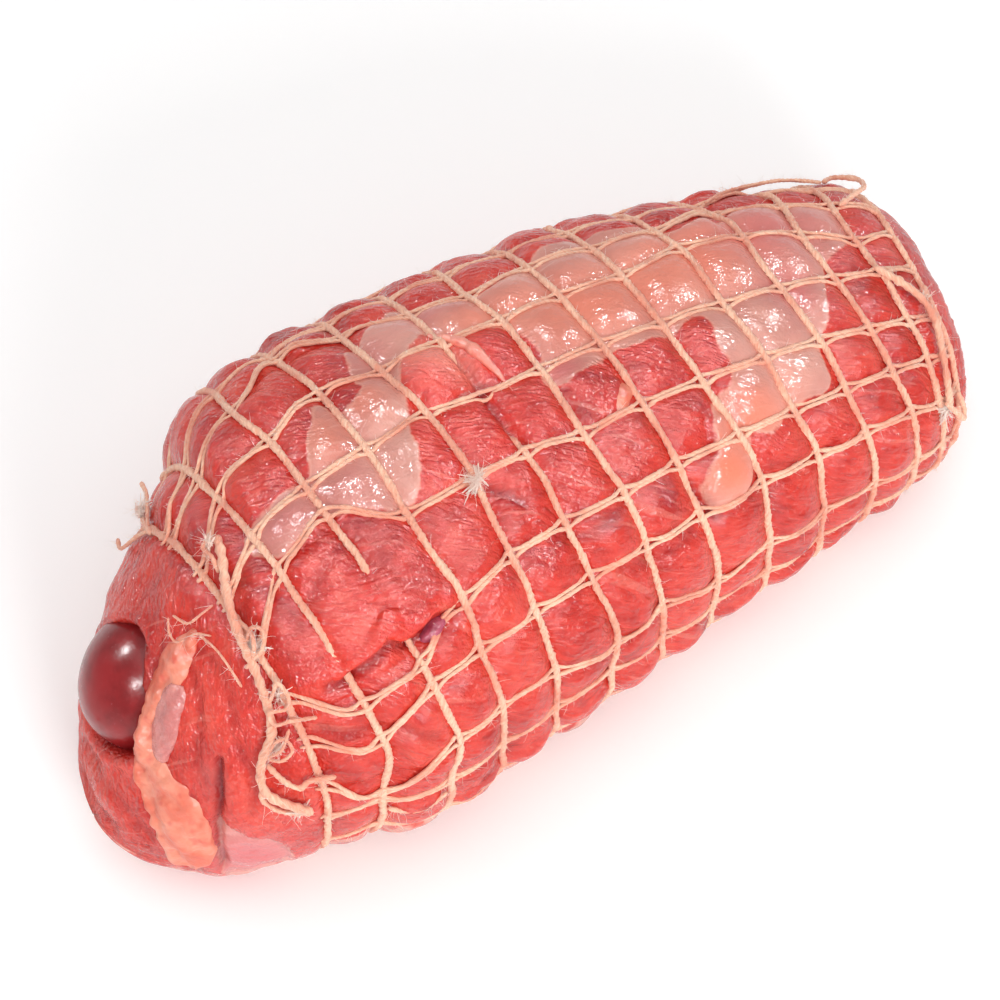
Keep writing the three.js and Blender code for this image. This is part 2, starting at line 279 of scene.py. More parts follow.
@dataclass(frozen=True)
class NetLayout:
    """Where the net's rings and strands run on the roll."""

    shape: RollShape
    shown: tuple[tuple[float, float], ...] = (
        (-47, 1), (-32.5, 2.5), (-17.5, 1.5), (1, 4), (20, 7), (38.5, 3.5), (54.5, 4), (78, 11),
    )
    strand_count: int = 19
    pulls: tuple[Pull, ...] = (
        Pull(0, 0, 0, 14), Pull(0, 2, 0, 10), Pull(0, 3, 0, 5), Pull(0, 4, 0, 10),
        Pull(1, 2, 0, -4), Pull(1, 4, 0.5, -5), Pull(1, 5, 1, 14), Pull(1, 6, 2, 9), Pull(1, 7, 3.5, 15),
        Pull(2, 1, -2, 0), Pull(2, 4, 0.5, -10), Pull(2, 5, 1, 10), Pull(2, 6, 2, 0), Pull(2, 7, 3, 0),
        Pull(3, 1, 1, -10), Pull(3, 2, 1, -3), Pull(3, 3, 1.5, -1), Pull(3, 5, 1, 2.5),
        Pull(4, 1, -0.5, -5), Pull(4, 3, 2.5, -2), Pull(4, 4, 2.5, 0), Pull(5, 7, 2, 4), Pull(6, 1, -1.5, 2),
        Pull(6, 4, -1.5, 1.5), Pull(7, 7, 1.5, 6), Pull(8, 6, 2, 0), Pull(9, 2, 1.5, -4), Pull(9, 6, 2, 1),
        Pull(10, 1, 3, -6), Pull(10, 2, 1, -3), Pull(11, 0, 4, -7), Pull(11, 1, 2, -4), Pull(12, 2, -1, 6),
        Pull(12, 6, -1, 3),
    )
    pull_reach: float = 8.0

    def strands(self) -> list[tuple[float, float]]:
        """Each strand's angle at the middle of the roll and its drift; the hidden ones are evenly spread."""
        first, last = self.shown[0], self.shown[-1]
        hidden = self.strand_count - len(self.shown)
        turn = FULL_TURN + first[0] - last[0]
        shares = [i / (hidden + 1) for i in range(1, hidden + 1)]
        rest = [(last[0] + turn * share, last[1] + (first[1] - last[1]) * share) for share in shares]
        return [*self.shown, *rest]

    def strand_angle(self, strand: int, x: Array) -> Array:
        """The strand's angle at stations, before any pull."""
        angle, drift = self.strands()[strand]
        return angle + drift * x / self.shape.reach

    def drawn(self, x: Array, degrees: Array) -> tuple[Array, Array]:
        """How far the net is drawn aside near places on the roll, along it and round it."""
        along = np.zeros(np.shape(x))
        around = np.zeros(np.shape(x))
        for pull in self.pulls:
            ring_x = self.shape.ring_x[pull.ring]
            off = wrapped(degrees - self.strand_angle(pull.strand, ring_x))
            weight = np.exp(-((x - ring_x) ** 2 + off**2) / (2 * self.pull_reach**2))
            along = along + weight * pull.along
            around = around + weight * pull.around
        return along, around

    def ring_gap(self, x: Array, degrees: Array) -> Array:
        """Millimetres to the nearest ring."""
        at = x - self.drawn(x, degrees)[0]
        return np.min(np.abs(at[..., None] - np.array(self.shape.ring_x)), axis=-1)

    def strand_gap(self, x: Array, degrees: Array) -> Array:
        """Millimetres to the nearest strand."""
        at = degrees - self.drawn(x, degrees)[1]
        angles = np.stack([self.strand_angle(i, x) for i in range(self.strand_count)], -1)
        return np.min(np.abs(wrapped(at[..., None] - angles)), axis=-1) * self.shape.girth(x)

    def cell(self, x: Array, degrees: Array) -> tuple[Array, Array]:
        """The numbers of the ring and strand that come before places on the roll."""
        angles = np.stack([self.strand_angle(i, x) for i in range(self.strand_count)], -1)
        behind = np.mod(degrees[..., None] - angles, FULL_TURN)
        return np.floor(self.shape.ring_at(x)).astype(int), np.argmin(behind, axis=-1)


def wrapped(degrees: Array) -> Array:
    """The same angles, between -180 and 180."""
    return (degrees + 180) % FULL_TURN - 180


@dataclass(frozen=True)
class Outline:
    """A closed outline on a flat map of a surface."""

    points: tuple[tuple[float, float], ...]
    margin: float = 12.0

    def inside(self, u: Array, v: Array) -> Array:
        """Distances inside the outline, which are negative outside it."""
        line = spline(self.points, 4, closed=True)
        low, high = line.min(0) - self.margin, line.max(0) + self.margin
        near = (u > low[0]) & (u < high[0]) & (v > low[1]) & (v < high[1])
        result = np.full(np.shape(u), -self.margin)
        at = np.stack([u[near], v[near]], -1)
        best = np.full(len(at), 1e9)
        odd = np.zeros(len(at), bool)
        for a, b in zip(line, np.roll(line, -1, axis=0)):
            best = np.minimum(best, segment_gap(at, a, b))
            rise = (a[1] > at[:, 1]) != (b[1] > at[:, 1])
            slope = (b[0] - a[0]) / (b[1] - a[1] if b[1] != a[1] else 1e-9)
            odd ^= rise & (at[:, 0] < a[0] + (at[:, 1] - a[1]) * slope)
        result[near] = np.where(odd, best, -best)
        return np.maximum(result, -self.margin)


@dataclass(frozen=True)
class Line:
    """An open line on a flat map of a surface."""

    points: tuple[tuple[float, float], ...]

    def gap(self, u: Array, v: Array) -> Array:
        """Distances to the line."""
        line = spline(self.points, 4)
        at = np.stack([u, v], -1)
        best = np.full(np.shape(u), 1e9)
        for a, b in zip(line[:-1], line[1:]):
            best = np.minimum(best, segment_gap(at, a, b))
        return best


def segment_gap(places: Array, a: Array, b: Array) -> Array:
    """Distances from places to the straight stretch between a and b."""
    run = b - a
    share = np.clip(((places - a) @ run) / max(run @ run, 1e-12), 0, 1)
    return np.linalg.norm(places - a - share[..., None] * run, axis=-1)


@dataclass(frozen=True)
class Spot:
    """A soft oval spot on a flat map: its middle, its half length and half width, and its turn in degrees."""

    middle: tuple[float, float]
    size: tuple[float, float]
    turn: float = 0.0

    def strength(self, u: Array, v: Array) -> Array:
        """From 1 in the middle to 0 well outside."""
        c, s = math.cos(math.radians(self.turn)), math.sin(math.radians(self.turn))
        du, dv = u - self.middle[0], v - self.middle[1]
        return np.exp(-(((du * c + dv * s) / self.size[0]) ** 2) - ((dv * c - du * s) / self.size[1]) ** 2)


@dataclass(frozen=True)
class EndFace:
    """The kidney end seen from the front and above, in millimetres right and up of the kidney's middle."""

    middle: Point = (-130.0, 1.0, 66.0)
    azimuth: float = -33.77
    elevation: float = 61.11

    def axes(self) -> tuple[Array, Array, Array]:
        """The directions right, up and towards the onlooker."""
        a, e = math.radians(self.azimuth), math.radians(self.elevation)
        right = np.array([math.cos(a), math.sin(a), 0.0])
        up = np.array([-math.sin(a) * math.sin(e), math.cos(a) * math.sin(e), math.cos(e)])
        back = np.array([math.sin(a) * math.cos(e), -math.cos(a) * math.cos(e), math.sin(e)])
        return right, up, back

    def flat(self, places: Array) -> tuple[Array, Array]:
        """Where places show on the face."""
        right, up, _ = self.axes()
        off = places - np.array(self.middle)
        return off @ right, off @ up


class MeatSurface:
    """The meat's surface: how it swells between the cords, folds and creases, and what is painted on it."""

    GROOVE = 1.2
    SWELL = 2.3
    FAR_SWELL = 0.6
    HALF_CELL = 9.2
    FLOOR_GROOVE = 2.6
    UNDERSIDE = 112.0

    # Silverskin: the piece towards the kidney end, and the broad band along the back with its tongue.
    MEMBRANES = (
        Outline((
            (-65, -20), (-71, -14), (-75, -10), (-78, -6), (-80, -4), (-86, -4.5), (-94, -4.5), (-101, -5),
            (-104, -2), (-101.5, 4.5), (-96.5, 8.5), (-91, 7.5), (-84, 4.5), (-80, 6.5), (-71, 11),
            (-62, 14.5), (-56.5, 13.5), (-53, 9.5), (-48.5, -1), (-44, -8), (-40, -16), (-34, -20),
            (-28, -24), (-30, -33), (-36, -35), (-43, -30.5), (-49, -29.5), (-52, -22), (-53, -19),
            (-52, -16), (-57, -14), (-61, -15.5),
        )),
        Outline((
            (-33, -34), (-26, -37), (-22, -33), (-9, -28.5), (2, -30), (10, -33), (19, -36), (31.5, -37.5),
            (47, -35), (54, -34), (58, -29), (68, -32), (70, -26), (74, -31), (80, -35), (90.5, -34),
            (106, -28), (101.5, -10), (93.5, -5), (84, 6.5), (77.5, 18.5), (71, 23), (69, 30), (68, 37),
            (62, 39.5), (55, 39),
            (50, 40.5), (43, 42.5), (36.5, 40), (32, 49.5), (27, 55), (21.5, 56.5), (16.5, 54), (15.5, 49),
            (20.5, 43.5), (25, 40), (26.5, 35), (30.5, 29.5), (38, 26), (42, 20.5), (41.5, 16.5), (42.5, 11),
            (44, 6.5), (41, 4), (33, 6.5), (26, 5.5), (15.5, 5), (9.5, 5.5), (-1, 7.5), (-6, 7), (-8.5, 4),
            (-4.5, -2), (-3, -8), (-8, -15), (-19.5, -19), (-28, -24),
        )),
    )

    # Layers of muscle that end on the surface: outline, how far they stand up, and over what width.
    LAYERS = (
        (Outline((
            (-48, -1.5), (-42.5, -2), (-38, 0.5), (-28.5, -1), (-20.5, 1.5), (-17, 10), (-17, 18), (-23, 27),
            (-31.5, 28.5), (-35, 21), (-46, 17.5), (-55, 14), (-54.5, 9), (-50, 0.5),
        )), 1.1, 1.6),
        (Outline((
            (-40.5, -16), (-36.5, -20), (-32.5, -21), (-27, -21), (-24, -16), (-20.5, -7.5), (-24.5, -2),
            (-30, -3), (-37, -2.5), (-41.5, -3.5), (-43.5, -8), (-42.5, -12),
        )), 1.4, 1.8),
        (Outline((
            (-66, 36), (-55, 33), (-47, 37), (-44, 45), (-47, 51.5), (-53, 52), (-59, 48), (-64, 46),
        )), 1.6, 1.6),
        (Outline((
            (15.5, 50), (20.5, 43.5), (25, 40), (27, 34), (33, 33), (35, 42), (32, 50), (27, 55), (21.5, 57),
            (16.5, 54.5),
        )), 1.5, 1.4),
        (Outline(((-22, 40), (-10, 34), (2, 36), (8, 44), (0, 52), (-14, 52))), 0.9, 2.0),
        (Outline(((36, 8), (46, 4), (56, 10), (58, 24), (46, 32), (36, 26))), 0.8, 1.8),
        (Outline(((-96, -30), (-82, -34), (-70, -26), (-74, -14), (-88, -10), (-98, -18))), 1.0, 2.2),
        (Outline(((60, 56), (74, 50), (88, 56), (90, 68), (76, 76), (62, 70))), 1.0, 2.0),
        (Outline(((-90, 62), (-74, 56), (-60, 62), (-62, 76), (-78, 82), (-90, 76))), 1.2, 2.0),
        (Outline(((-40, 66), (-24, 62), (-12, 70), (-16, 84), (-32, 88), (-42, 80))), 1.1, 2.0),
        (Outline(((-60, -60), (-30, -66), (0, -62), (4, -78), (-26, -84), (-58, -78))), 1.3, 2.0),
        (Outline(((30, -60), (60, -64), (84, -58), (82, -76), (54, -82), (30, -76))), 1.3, 2.0),
        (Outline(((-70, -104), (-20, -112), (40, -106), (70, -110), (30, -126), (-40, -128))), 1.5, 2.0),
        (Outline(((-80, 108), (-30, 102), (20, 108), (60, 104), (40, 124), (-40, 126))), 1.5, 2.0),
    )

    # Creases: line, depth, half width, and how much painted shade darkens them.
    CREASES = (
        (Line((
            (-104, 43), (-100, 44), (-95, 42), (-90, 40.5), (-86, 39), (-82, 41), (-77, 41), (-70, 40),
            (-65, 41),
        )), 2.0, 1.5, 0.8),
        (Line(((-25, -15), (-24, -5), (-25, 5), (-24.5, 17))), 2.0, 1.2, 0.5),
        (Line(((-39.5, 21), (-36.5, 25), (-34, 28.5))), 1.8, 1.5, 0.8),
        (Line(((13.5, 45), (14.5, 51), (17, 57))), 1.8, 1.5, 0.8),
        (Line(((-30, 40), (-20, 43), (-8, 41))), 1.2, 1.6, 0.5),
        (Line(((-16, 56), (-4, 60), (8, 58))), 1.2, 1.6, 0.4),
        (Line(((40, 52), (52, 57), (62, 55))), 1.0, 1.6, 0.4),
        (Line(((-110, 52), (-101, 58), (-92, 60), (-84, 66))), 1.4, 2.0, 0.5),
        (Line(((-98, 22), (-90, 16), (-82, 14), (-74, 16))), 1.0, 1.8, 0.3),
        (Line(((-112, -2), (-104, 16), (-103, 26))), 1.2, 2.0, 0.4),
        (Line(((-120, -120), (-60, -132), (0, -128), (60, -134), (112, -126))), 3.0, 2.6, 0.9),
    )

    # Soft hollows and swellings of the body: spot and height.
    SWELLINGS = (
        (Spot((-72.5, 42), (4.0, 2.0)), -2.0),
        (Spot((-70, 33), (9, 6), 20), 1.2),
        (Spot((-33, -12), (7, 6)), 0.8),
        (Spot((-93, 30), (8, 5), -10), 1.0),
        (Spot((2, 14), (12, 8), 30), 0.6),
        (Spot((-106, 60), (8, 9)), 1.4),
    )

    # Tints of the body: mark, spot, strength.
    TINTS = (
        (Mark.PEACH, Spot((46, -10), (26, 12)), 0.55),
        (Mark.PEACH, Spot((12, -12), (20, 14)), 0.6),
        (Mark.PEACH, Spot((-12, -20), (12, 7)), 0.5),
        (Mark.PEACH, Spot((40, 36), (13, 9), 10), 0.75),
        (Mark.PEACH, Spot((24, 46), (8, 10), -40), 0.95),
        (Mark.PEACH, Spot((-70, -10), (8, 8)), 0.5),
        (Mark.PEACH, Spot((-54, -14), (7, 6)), 0.5),
        (Mark.LILAC, Spot((-44, -26), (9, 7)), 0.3),
        (Mark.LILAC, Spot((-22, -30), (10, 5)), 0.5),
        (Mark.LILAC, Spot((-92, 1), (10, 6)), 0.55),
        (Mark.LILAC, Spot((-70, 3), (8, 7)), 0.35),
        (Mark.LILAC, Spot((74, 6), (8, 9)), 0.7),
        (Mark.LILAC, Spot((-2, 4), (6, 3)), 0.8),
        (Mark.LILAC, Spot((84, -20), (20, 15)), 0.75),
        (Mark.PEACH, Spot((62, -22), (24, 11)), 0.6),
        (Mark.LILAC, Spot((118, -40), (10, 30)), 0.8),
        (Mark.LILAC, Spot((120, 20), (7, 30)), 0.6),
        (Mark.PALE, Spot((-33, -15), (9, 5.5), 20), 1.0),
        (Mark.PALE, Spot((-26, -9), (5, 6)), 0.9),
        (Mark.BRIGHT, Spot((-36, -9), (4.5, 4.5)), 1.0),
        (Mark.BRIGHT, Spot((-17, -9), (3.5, 8), 20), 1.0),
        (Mark.BRIGHT, Spot((-32, 10), (16, 12)), 0.5),
        (Mark.BRIGHT, Spot((-84, 32), (16, 9)), 0.45),
        # painted shade in the hollow of the cut vein under the flap's lip
        (Mark.GLOOM, Spot((-72.5, 42), (4, 2)), 0.5),
    )

    # On the kidney end, in millimetres seen square on: the kidney's hollow, the membrane low at the front.
    POCKET = Outline((
        (-9.6, 6.8), (-7.4, 11.5), (-2.2, 16.9), (3.2, 19.1), (7.6, 18.0), (8.8, 13.6), (8.6, 7.6),
        (7.6, 2.2), (8.8, -1.9), (8.2, -4.6), (6.4, -7.8), (5.8, -12.4), (5.2, -16.8), (1.6, -18.0),
        (-3.2, -16.6),
        (-7.8, -12.4), (-10.4, -4.9), (-10.8, 0.5),
    ))
    POCKET_DEPTH = 8.0
    FRONT_MEMBRANE = Outline((
        (27.8, -34.5), (32.7, -37.4), (36.7, -39.6), (41.6, -40.2), (45.5, -42.5), (46, -48), (38, -54),
        (29, -54), (27, -46),
    ))
    # Creases on the kidney end: line, depth, half width, and how much painted shade darkens them.
    END_CREASES = (
        (Line((
            (29.2, -17), (29.0, -22), (28.6, -28.1), (27.2, -35.1), (26.8, -42.7), (27.6, -49),
        )), 2.4, 1.3, 0.8),
        (Line(((5.9, -17.6), (8.6, -26.5), (11.3, -37.3), (15.4, -44.8), (19.4, -50))), 2.0, 1.6, 0.5),
        (Line(((8.5, 15), (11, 9), (9.5, 2), (10.5, -4))), 1.2, 1.4, 0.4),
        (Line(((20, 14), (27, 10), (32, 2), (33, -6))), 1.0, 1.8, 0.3),
        (Line(((21, 8), (24, -4), (22.5, -14), (24, -22))), 1.0, 1.6, 0.4),
        (Line(((34, -12), (38, -22), (37, -31))), 0.9, 1.6, 0.3),
        (Line(((-11, -14), (-6, -22), (0, -30), (8, -40))), 1.0, 1.6, 0.3),
        (Line(((-13, -22), (-9, -30), (-3, -38))), 0.9, 1.4, 0.3),
    )
    END_SWELLINGS = (
        (Spot((18, 27), (12, 6), 35), 1.6),
        (Spot((-2, 24), (10, 5), 50), 1.4),
        (Spot((-4, -27), (9, 6), -45), 1.6),
        (Spot((32, -22), (6, 11)), 1.2),
        (Spot((30, 4), (8, 10)), 0.8),
        (Spot((13, 10), (3, 8)), -0.8),
    )
    END_TINTS = (
        (Mark.LILAC, Spot((36, -47), (18, 10)), 1.2),
        (Mark.LILAC, Spot((-12, -24), (4, 14), 30), 0.4),
        # painted shade along two creases of the kidney end
        (Mark.GLOOM, Spot((7.5, 11), (1.6, 8)), 0.9),
        (Mark.GLOOM, Spot((28, -24), (2.5, 8)), 0.5),
        (Mark.BRIGHT, Spot((26, 0), (8, 12)), 0.4),
        (Mark.LILAC, Spot((26, -22), (3.5, 6)), 0.6),
    )

    def __init__(self, shape: RollShape, net: NetLayout, end: EndFace) -> None:
        """Draws the noises and how full each cell of the net is."""
        self.shape = shape
        self.net = net
        self.end = end
        self.lumps = Grain(11)
        self.fibres = Grain(12)
        self.fullness = np.random.default_rng(5).uniform(0.72, 1.15, (len(shape.ring_x), net.strand_count))

    def pillows(self, x: Array, degrees: Array) -> Array:
        """How the meat swells between the cords and is drawn in under them."""
        ring_gap = self.net.ring_gap(x, degrees)
        strand_gap = self.net.strand_gap(x, degrees)
        across = 1 - (1 - np.clip(ring_gap / self.HALF_CELL, 0, 1)) ** 2.4
        beside = 1 - (1 - np.clip(strand_gap / (self.HALF_CELL * 0.9), 0, 1)) ** 2.6
        ring, strand = self.net.cell(x, degrees)
        full = self.fullness[np.clip(ring, 0, len(self.shape.ring_x) - 1), strand]
        far = smooth_step((self.shape.ring_at(x) - 9.5) / 3.5)
        swell = self.SWELL + (self.FAR_SWELL - self.SWELL) * far
        height = (self.GROOVE + swell * (0.45 + 0.55 * full * beside)) * across * (0.62 + 0.38 * beside)
        height = height - self.GROOVE
        ends = np.maximum(self.shape.ring_x[0] - x, x - self.shape.ring_x[-1])
        bare = smooth_step(ends / 7)
        return height * (1 - bare) + 0.3 * bare

    def facing(self, outward: Array, x: Array) -> Array:
        """How much places belong to the face of the kidney end."""
        _, _, back = self.end.axes()
        return smooth_step(outward @ back / 0.25 + 0.2) * smooth_step((-96 - x) / 12)

    def height(self, x: Array, degrees: Array, base: Array, outward: Array) -> Array:
        """How far the surface stands out of the roll's own outline.

        Args:
            x: Stations.
            degrees: Angles round the roll.
            base: The places on the roll's outline.
            outward: The directions straight out there.

        Returns:
            Millimetres, negative where it is sunk.
        """
        degrees = wrapped(degrees)
        height = self.pillows(x, degrees)
        for outline, rise, width in self.LAYERS:
            height = height + rise * smooth_step((outline.inside(x, degrees) + width) / (1.6 * width))
        for line, depth, width, _ in self.CREASES:
            height = height - depth * np.exp(-((line.gap(x, degrees) / width) ** 2))
        for spot, rise in self.SWELLINGS:
            height = height + rise * spot.strength(x, degrees)
        membrane = self.membrane(x, degrees)
        height = height + 0.35 * smooth_step(membrane / 1.2 + 0.5)
        face = self.facing(outward, x)
        u, v = self.end.flat(base)
        pocket = self.POCKET.inside(u, v)
        height = height - face * self.POCKET_DEPTH * smooth_step((pocket + 0.4) / 2.6)
        height = height + face * 1.3 * np.exp(-(((pocket + 1.6) / 1.5) ** 2))
        height = height - face * 1.8 * smooth_step((self.FRONT_MEMBRANE.inside(u, v) + 0.5) / 1.5)
        for line, depth, width, _ in self.END_CREASES:
            height = height - face * depth * np.exp(-((line.gap(u, v) / width) ** 2))
        for spot, rise in self.END_SWELLINGS:
            height = height + face * rise * spot.strength(u, v)
        height = height - self.far_spiral(x, degrees)[1]
        return height + self.roughness(x, degrees, base, membrane)

    def roughness(self, x: Array, degrees: Array, base: Array, membrane: Array) -> Array:
        """Lumps and coarse fibres, which silverskin smooths over."""
        lumps = 0.9 * self.lumps.at(base / 19) + 0.5 * self.lumps.layered(base / 8 + 3, 2)
        arc = degrees * self.shape.girth(np.full_like(x, 0.0))
        swirl = 5 * self.lumps.at(base / 24 + 9)
        along, across = x * 0.86 + arc * 0.5 + swirl, -x * 0.5 + arc * 0.86 + swirl
        fibre = self.fibres.layered(np.stack([along / 7.5, across / 2.1, base[..., 2] / 30], -1), 2)
        muscle = 1 - 0.85 * smooth_step(membrane / 1.5 + 0.5)
        return lumps * (0.45 + 0.55 * muscle) + 0.26 * fibre * muscle

    def membrane(self, x: Array, degrees: Array) -> Array:
        """Distances inside the silverskin of the body."""
        return np.max([outline.inside(x, degrees) for outline in self.MEMBRANES], axis=0)

    def far_spiral(self, x: Array, degrees: Array) -> tuple[Array, Array]:
        """The seam of the rolled-up layers in the far end's face.

        Args:
            x: Stations.
            degrees: Angles round the roll.

        Returns:
            The seam's strength from 0 to 1, and how deep it is.
        """
        turns = 2.2
        opened = self.shape.far.opened(x)
        phase = np.mod(turns * opened**0.8 - degrees / FULL_TURN, 1)
        off = np.abs(phase - 0.5) * opened * 42 / turns
        on_face = smooth_step((0.96 - opened) / 0.12) * smooth_step(opened / 0.15)
        return on_face * np.exp(-((off / 1.3) ** 2)), on_face * 2.4 * np.exp(-((off / 1.9) ** 2))

    def marks(self, x: Array, degrees: Array, base: Array, outward: Array) -> dict[Mark, Array]:
        """What is painted on the surface.

        Args:
            x: Stations.
            degrees: Angles round the roll.
            base: The places on the roll's outline.
            outward: The directions straight out there.

        Returns:
            For each mark its strength, or for silverskin the distance inside it.
        """
        painted = {mark: np.zeros(np.shape(x)) for mark in Mark}
        face = self.facing(outward, x)
        u, v = self.end.flat(base)
        seam, _ = self.far_spiral(x, degrees)
        front = np.where(face > 0.5, self.FRONT_MEMBRANE.inside(u, v), -9)
        under = np.abs(wrapped(degrees)) - self.UNDERSIDE
        streaks = 2.4 * np.abs(np.sin(x / 17 + 2 * np.sin(np.radians(degrees) * 3))) - 1.7
        hidden = np.where(under > 0, streaks * smooth_step(under / 12), -9)
        membrane = np.max([self.membrane(x, degrees), front, 4 * seam - 2.4, hidden], axis=0)
        painted[Mark.MEMBRANE] = membrane
        for mark, spot, strength in self.TINTS:
            painted[mark] = painted[mark] + strength * spot.strength(x, degrees)
        for mark, spot, strength in self.END_TINTS:
            painted[mark] = painted[mark] + face * strength * spot.strength(u, v)
        # Painted shade along the creases and in the kidney's pocket.
        for line, _, width, dark in self.CREASES:
            painted[Mark.GLOOM] += dark * np.exp(-((line.gap(x, degrees) / (0.8 * width)) ** 2))
        for line, _, width, dark in self.END_CREASES:
            painted[Mark.GLOOM] += face * dark * np.exp(-((line.gap(u, v) / (0.8 * width)) ** 2))
        pocket = self.POCKET.inside(u, v)
        painted[Mark.GLOOM] += face * 0.9 * smooth_step((pocket + 0.3) / 1.5)
        painted[Mark.PEACH] += 0.7 * seam
        painted[Mark.END] = smooth_step((-104 - x) / 12) + smooth_step((x - 112) / 8)
        return painted

    def place(self, x: Array, degrees: Array, lift: Array | float = 0.0) -> tuple[Array, Array]:
        """Places on the meat and the directions straight out of it.

        Args:
            x: Stations, away from the tips.
            degrees: Angles round the roll.
            lift: How far above the meat.

        Returns:
            The places and the directions.
        """
        base = self.shape.surface(x, degrees)
        outward = self.shape.outward(x, degrees)
        height = self.height(x, degrees, base, outward)
        return base + outward * (height + lift)[..., None], outward


@dataclass
class Ball:
    """A closed ball laid out on a grid of places, whose first and last rows are its poles."""

    places: Array
    chart: Array
    wrap: float
    marks: dict[str, Array]


class Balls:
    """Closed balls joined in one mesh."""

    SPACING = 4.0

    def __init__(self) -> None:
        """Starts with no ball."""
        self.balls: list[Ball] = []

    def add(self, places: Array, chart: Array | None = None, wrap: float = 0.0, **marks: Array) -> None:
        """Adds a ball.

        Args:
            places: Its grid of places, in millimetres.
            chart: Its grid of map coordinates, in millimetres.
            wrap: How far the second map coordinate goes in one turn.
            marks: Grids of numbers that are kept as attributes.
        """
        chart = np.zeros((*places.shape[:2], 2)) if chart is None else chart
        marks = {name: np.broadcast_to(values, places.shape[:2]) for name, values in marks.items()}
        self.balls.append(Ball(places, chart, wrap, marks))

    def mesh(self, name: str) -> bpy.types.Object:
        """Makes the object, in metres, with outward faces."""
        self.balls.sort(key=lambda ball: ball.places.shape[:2], reverse=True)
        shapes = [ball.places.shape[:2] for ball in self.balls]
        shaper = bmesh.new()
        for rows, columns in dict.fromkeys(shapes):
            first, count = shapes.index((rows, columns)), shapes.count((rows, columns))
            self._shells(shaper, rows, columns, first, count)
        mesh = bpy.data.meshes.new(name)
        shaper.to_mesh(mesh)
        shaper.free()
        flat, column, columns, ball = self._address(mesh)
        places = np.concatenate([ball.places.reshape(-1, 3) for ball in self.balls])[flat] * MM
        mesh.vertices.foreach_set("co", places.astype(np.float32).ravel())
        mesh.update()
        self._chart(mesh, flat, column, columns, ball)
        for mark in self.balls[0].marks:
            values = np.concatenate([ball.marks[mark].reshape(-1) for ball in self.balls])[flat]
            mesh.attributes.new(mark, "FLOAT", "POINT").data.foreach_set("value", values.astype(np.float32))
        if self._volume(mesh) < 0:
            mesh.flip_normals()
        mesh.polygons.foreach_set("use_smooth", np.ones(len(mesh.polygons), bool))
        piece = bpy.data.objects.new(name, mesh)
        bpy.context.scene.collection.objects.link(piece)
        return piece

    def _shells(self, shaper: bmesh.types.BMesh, rows: int, columns: int, first: int, count: int) -> None:
        """Adds round balls of one layout in a row, each copying step taking all that is there already.

        Args:
            shaper: Where they are made.
            rows: How many rows of places each has, its poles counted.
            columns: How many columns each has.
            first: The number of the first, which gives its place in the row.
            count: How many there are.
        """
        start = Matrix.Translation((first * self.SPACING, 0, 0))
        verts = bmesh.ops.create_uvsphere(
            shaper, u_segments=columns, v_segments=rows - 1, radius=1, matrix=start
        )["verts"]
        edges = {edge for vert in verts for edge in vert.link_edges} if count > 1 else set()
        faces = {face for vert in verts for face in vert.link_faces} if count > 1 else set()
        everything = [*verts, *edges, *faces]
        blocks = [(0, 1, everything)]
        total = 1
        while total < count:
            if 2 * total <= count:
                source, size, geometry = 0, total, everything
            else:
                fitting = (block for block in reversed(blocks) if block[1] <= count - total)
                source, size, geometry = next(fitting)
            copied = bmesh.ops.duplicate(shaper, geom=geometry)["geom"]
            moved = [part for part in copied if isinstance(part, bmesh.types.BMVert)]
            bmesh.ops.translate(shaper, vec=((total - source) * self.SPACING, 0, 0), verts=moved)
            if 2 * total <= count:
                blocks.append((total, size, copied))
                everything = everything + copied
            total += size

    def _address(self, mesh: bpy.types.Mesh) -> tuple[Array, Array, Array, Array]:
        """Each point's place in the joined grids, its column, how many columns there are, and its ball."""
        co = np.empty(len(mesh.vertices) * 3, np.float32)
        mesh.vertices.foreach_get("co", co)
        co = co.reshape(-1, 3).astype(float)
        ball = np.rint(co[:, 0] / self.SPACING).astype(int)
        co[:, 0] -= ball * self.SPACING
        layouts = np.array([ball.places.shape[:2] for ball in self.balls])
        rows, columns = layouts[ball].T
        starts = np.concatenate([[0], np.cumsum(layouts.prod(axis=1))])[ball]
        down = np.arctan2(np.hypot(co[:, 0], co[:, 1]), co[:, 2])
        row = np.rint(down / math.pi * (rows - 1)).astype(int)
        turn = np.arctan2(co[:, 1], co[:, 0])
        column = np.rint(turn / (2 * math.pi) * columns).astype(int) % columns
        column = np.where((row == 0) | (row == rows - 1), 0, column)
        return starts + row * columns + column, column, columns, ball

    def _chart(self, mesh: bpy.types.Mesh, flat: Array, column: Array, columns: Array, ball: Array) -> None:
        """Writes the map coordinates, carried on past each ball's seam."""
        loops = np.empty(len(mesh.loops), np.int32)
        mesh.loops.foreach_get("vertex_index", loops)
        starts = np.empty(len(mesh.polygons), np.int32)
        mesh.polygons.foreach_get("loop_start", starts)
        sizes = np.diff(np.append(starts, len(loops)))
        chart = np.concatenate([ball.chart.reshape(-1, 2) for ball in self.balls])[flat[loops]]
        at = column[loops]
        spread = np.maximum.reduceat(at, starts) - np.minimum.reduceat(at, starts)
        half = columns[loops] / 2
        past = (np.repeat(spread, sizes) > half) & (at < half)
        wraps = np.array([ball.wrap for ball in self.balls])
        chart[:, 1] += np.where(past, wraps[ball[loops]], 0)
        mesh.uv_layers.new(name="lay").data.foreach_set("uv", (chart * MM).astype(np.float32).ravel())

    @staticmethod
    def _volume(mesh: bpy.types.Mesh) -> float:
        """Three times the volume inside the faces, negative if they point inwards."""
        count = len(mesh.polygons)
        centre, normal, area = np.empty(count * 3), np.empty(count * 3), np.empty(count)
        mesh.polygons.foreach_get("center", centre)
        mesh.polygons.foreach_get("normal", normal)
        mesh.polygons.foreach_get("area", area)
        return float(np.sum(np.sum(centre.reshape(-1, 3) * normal.reshape(-1, 3), axis=1) * area))


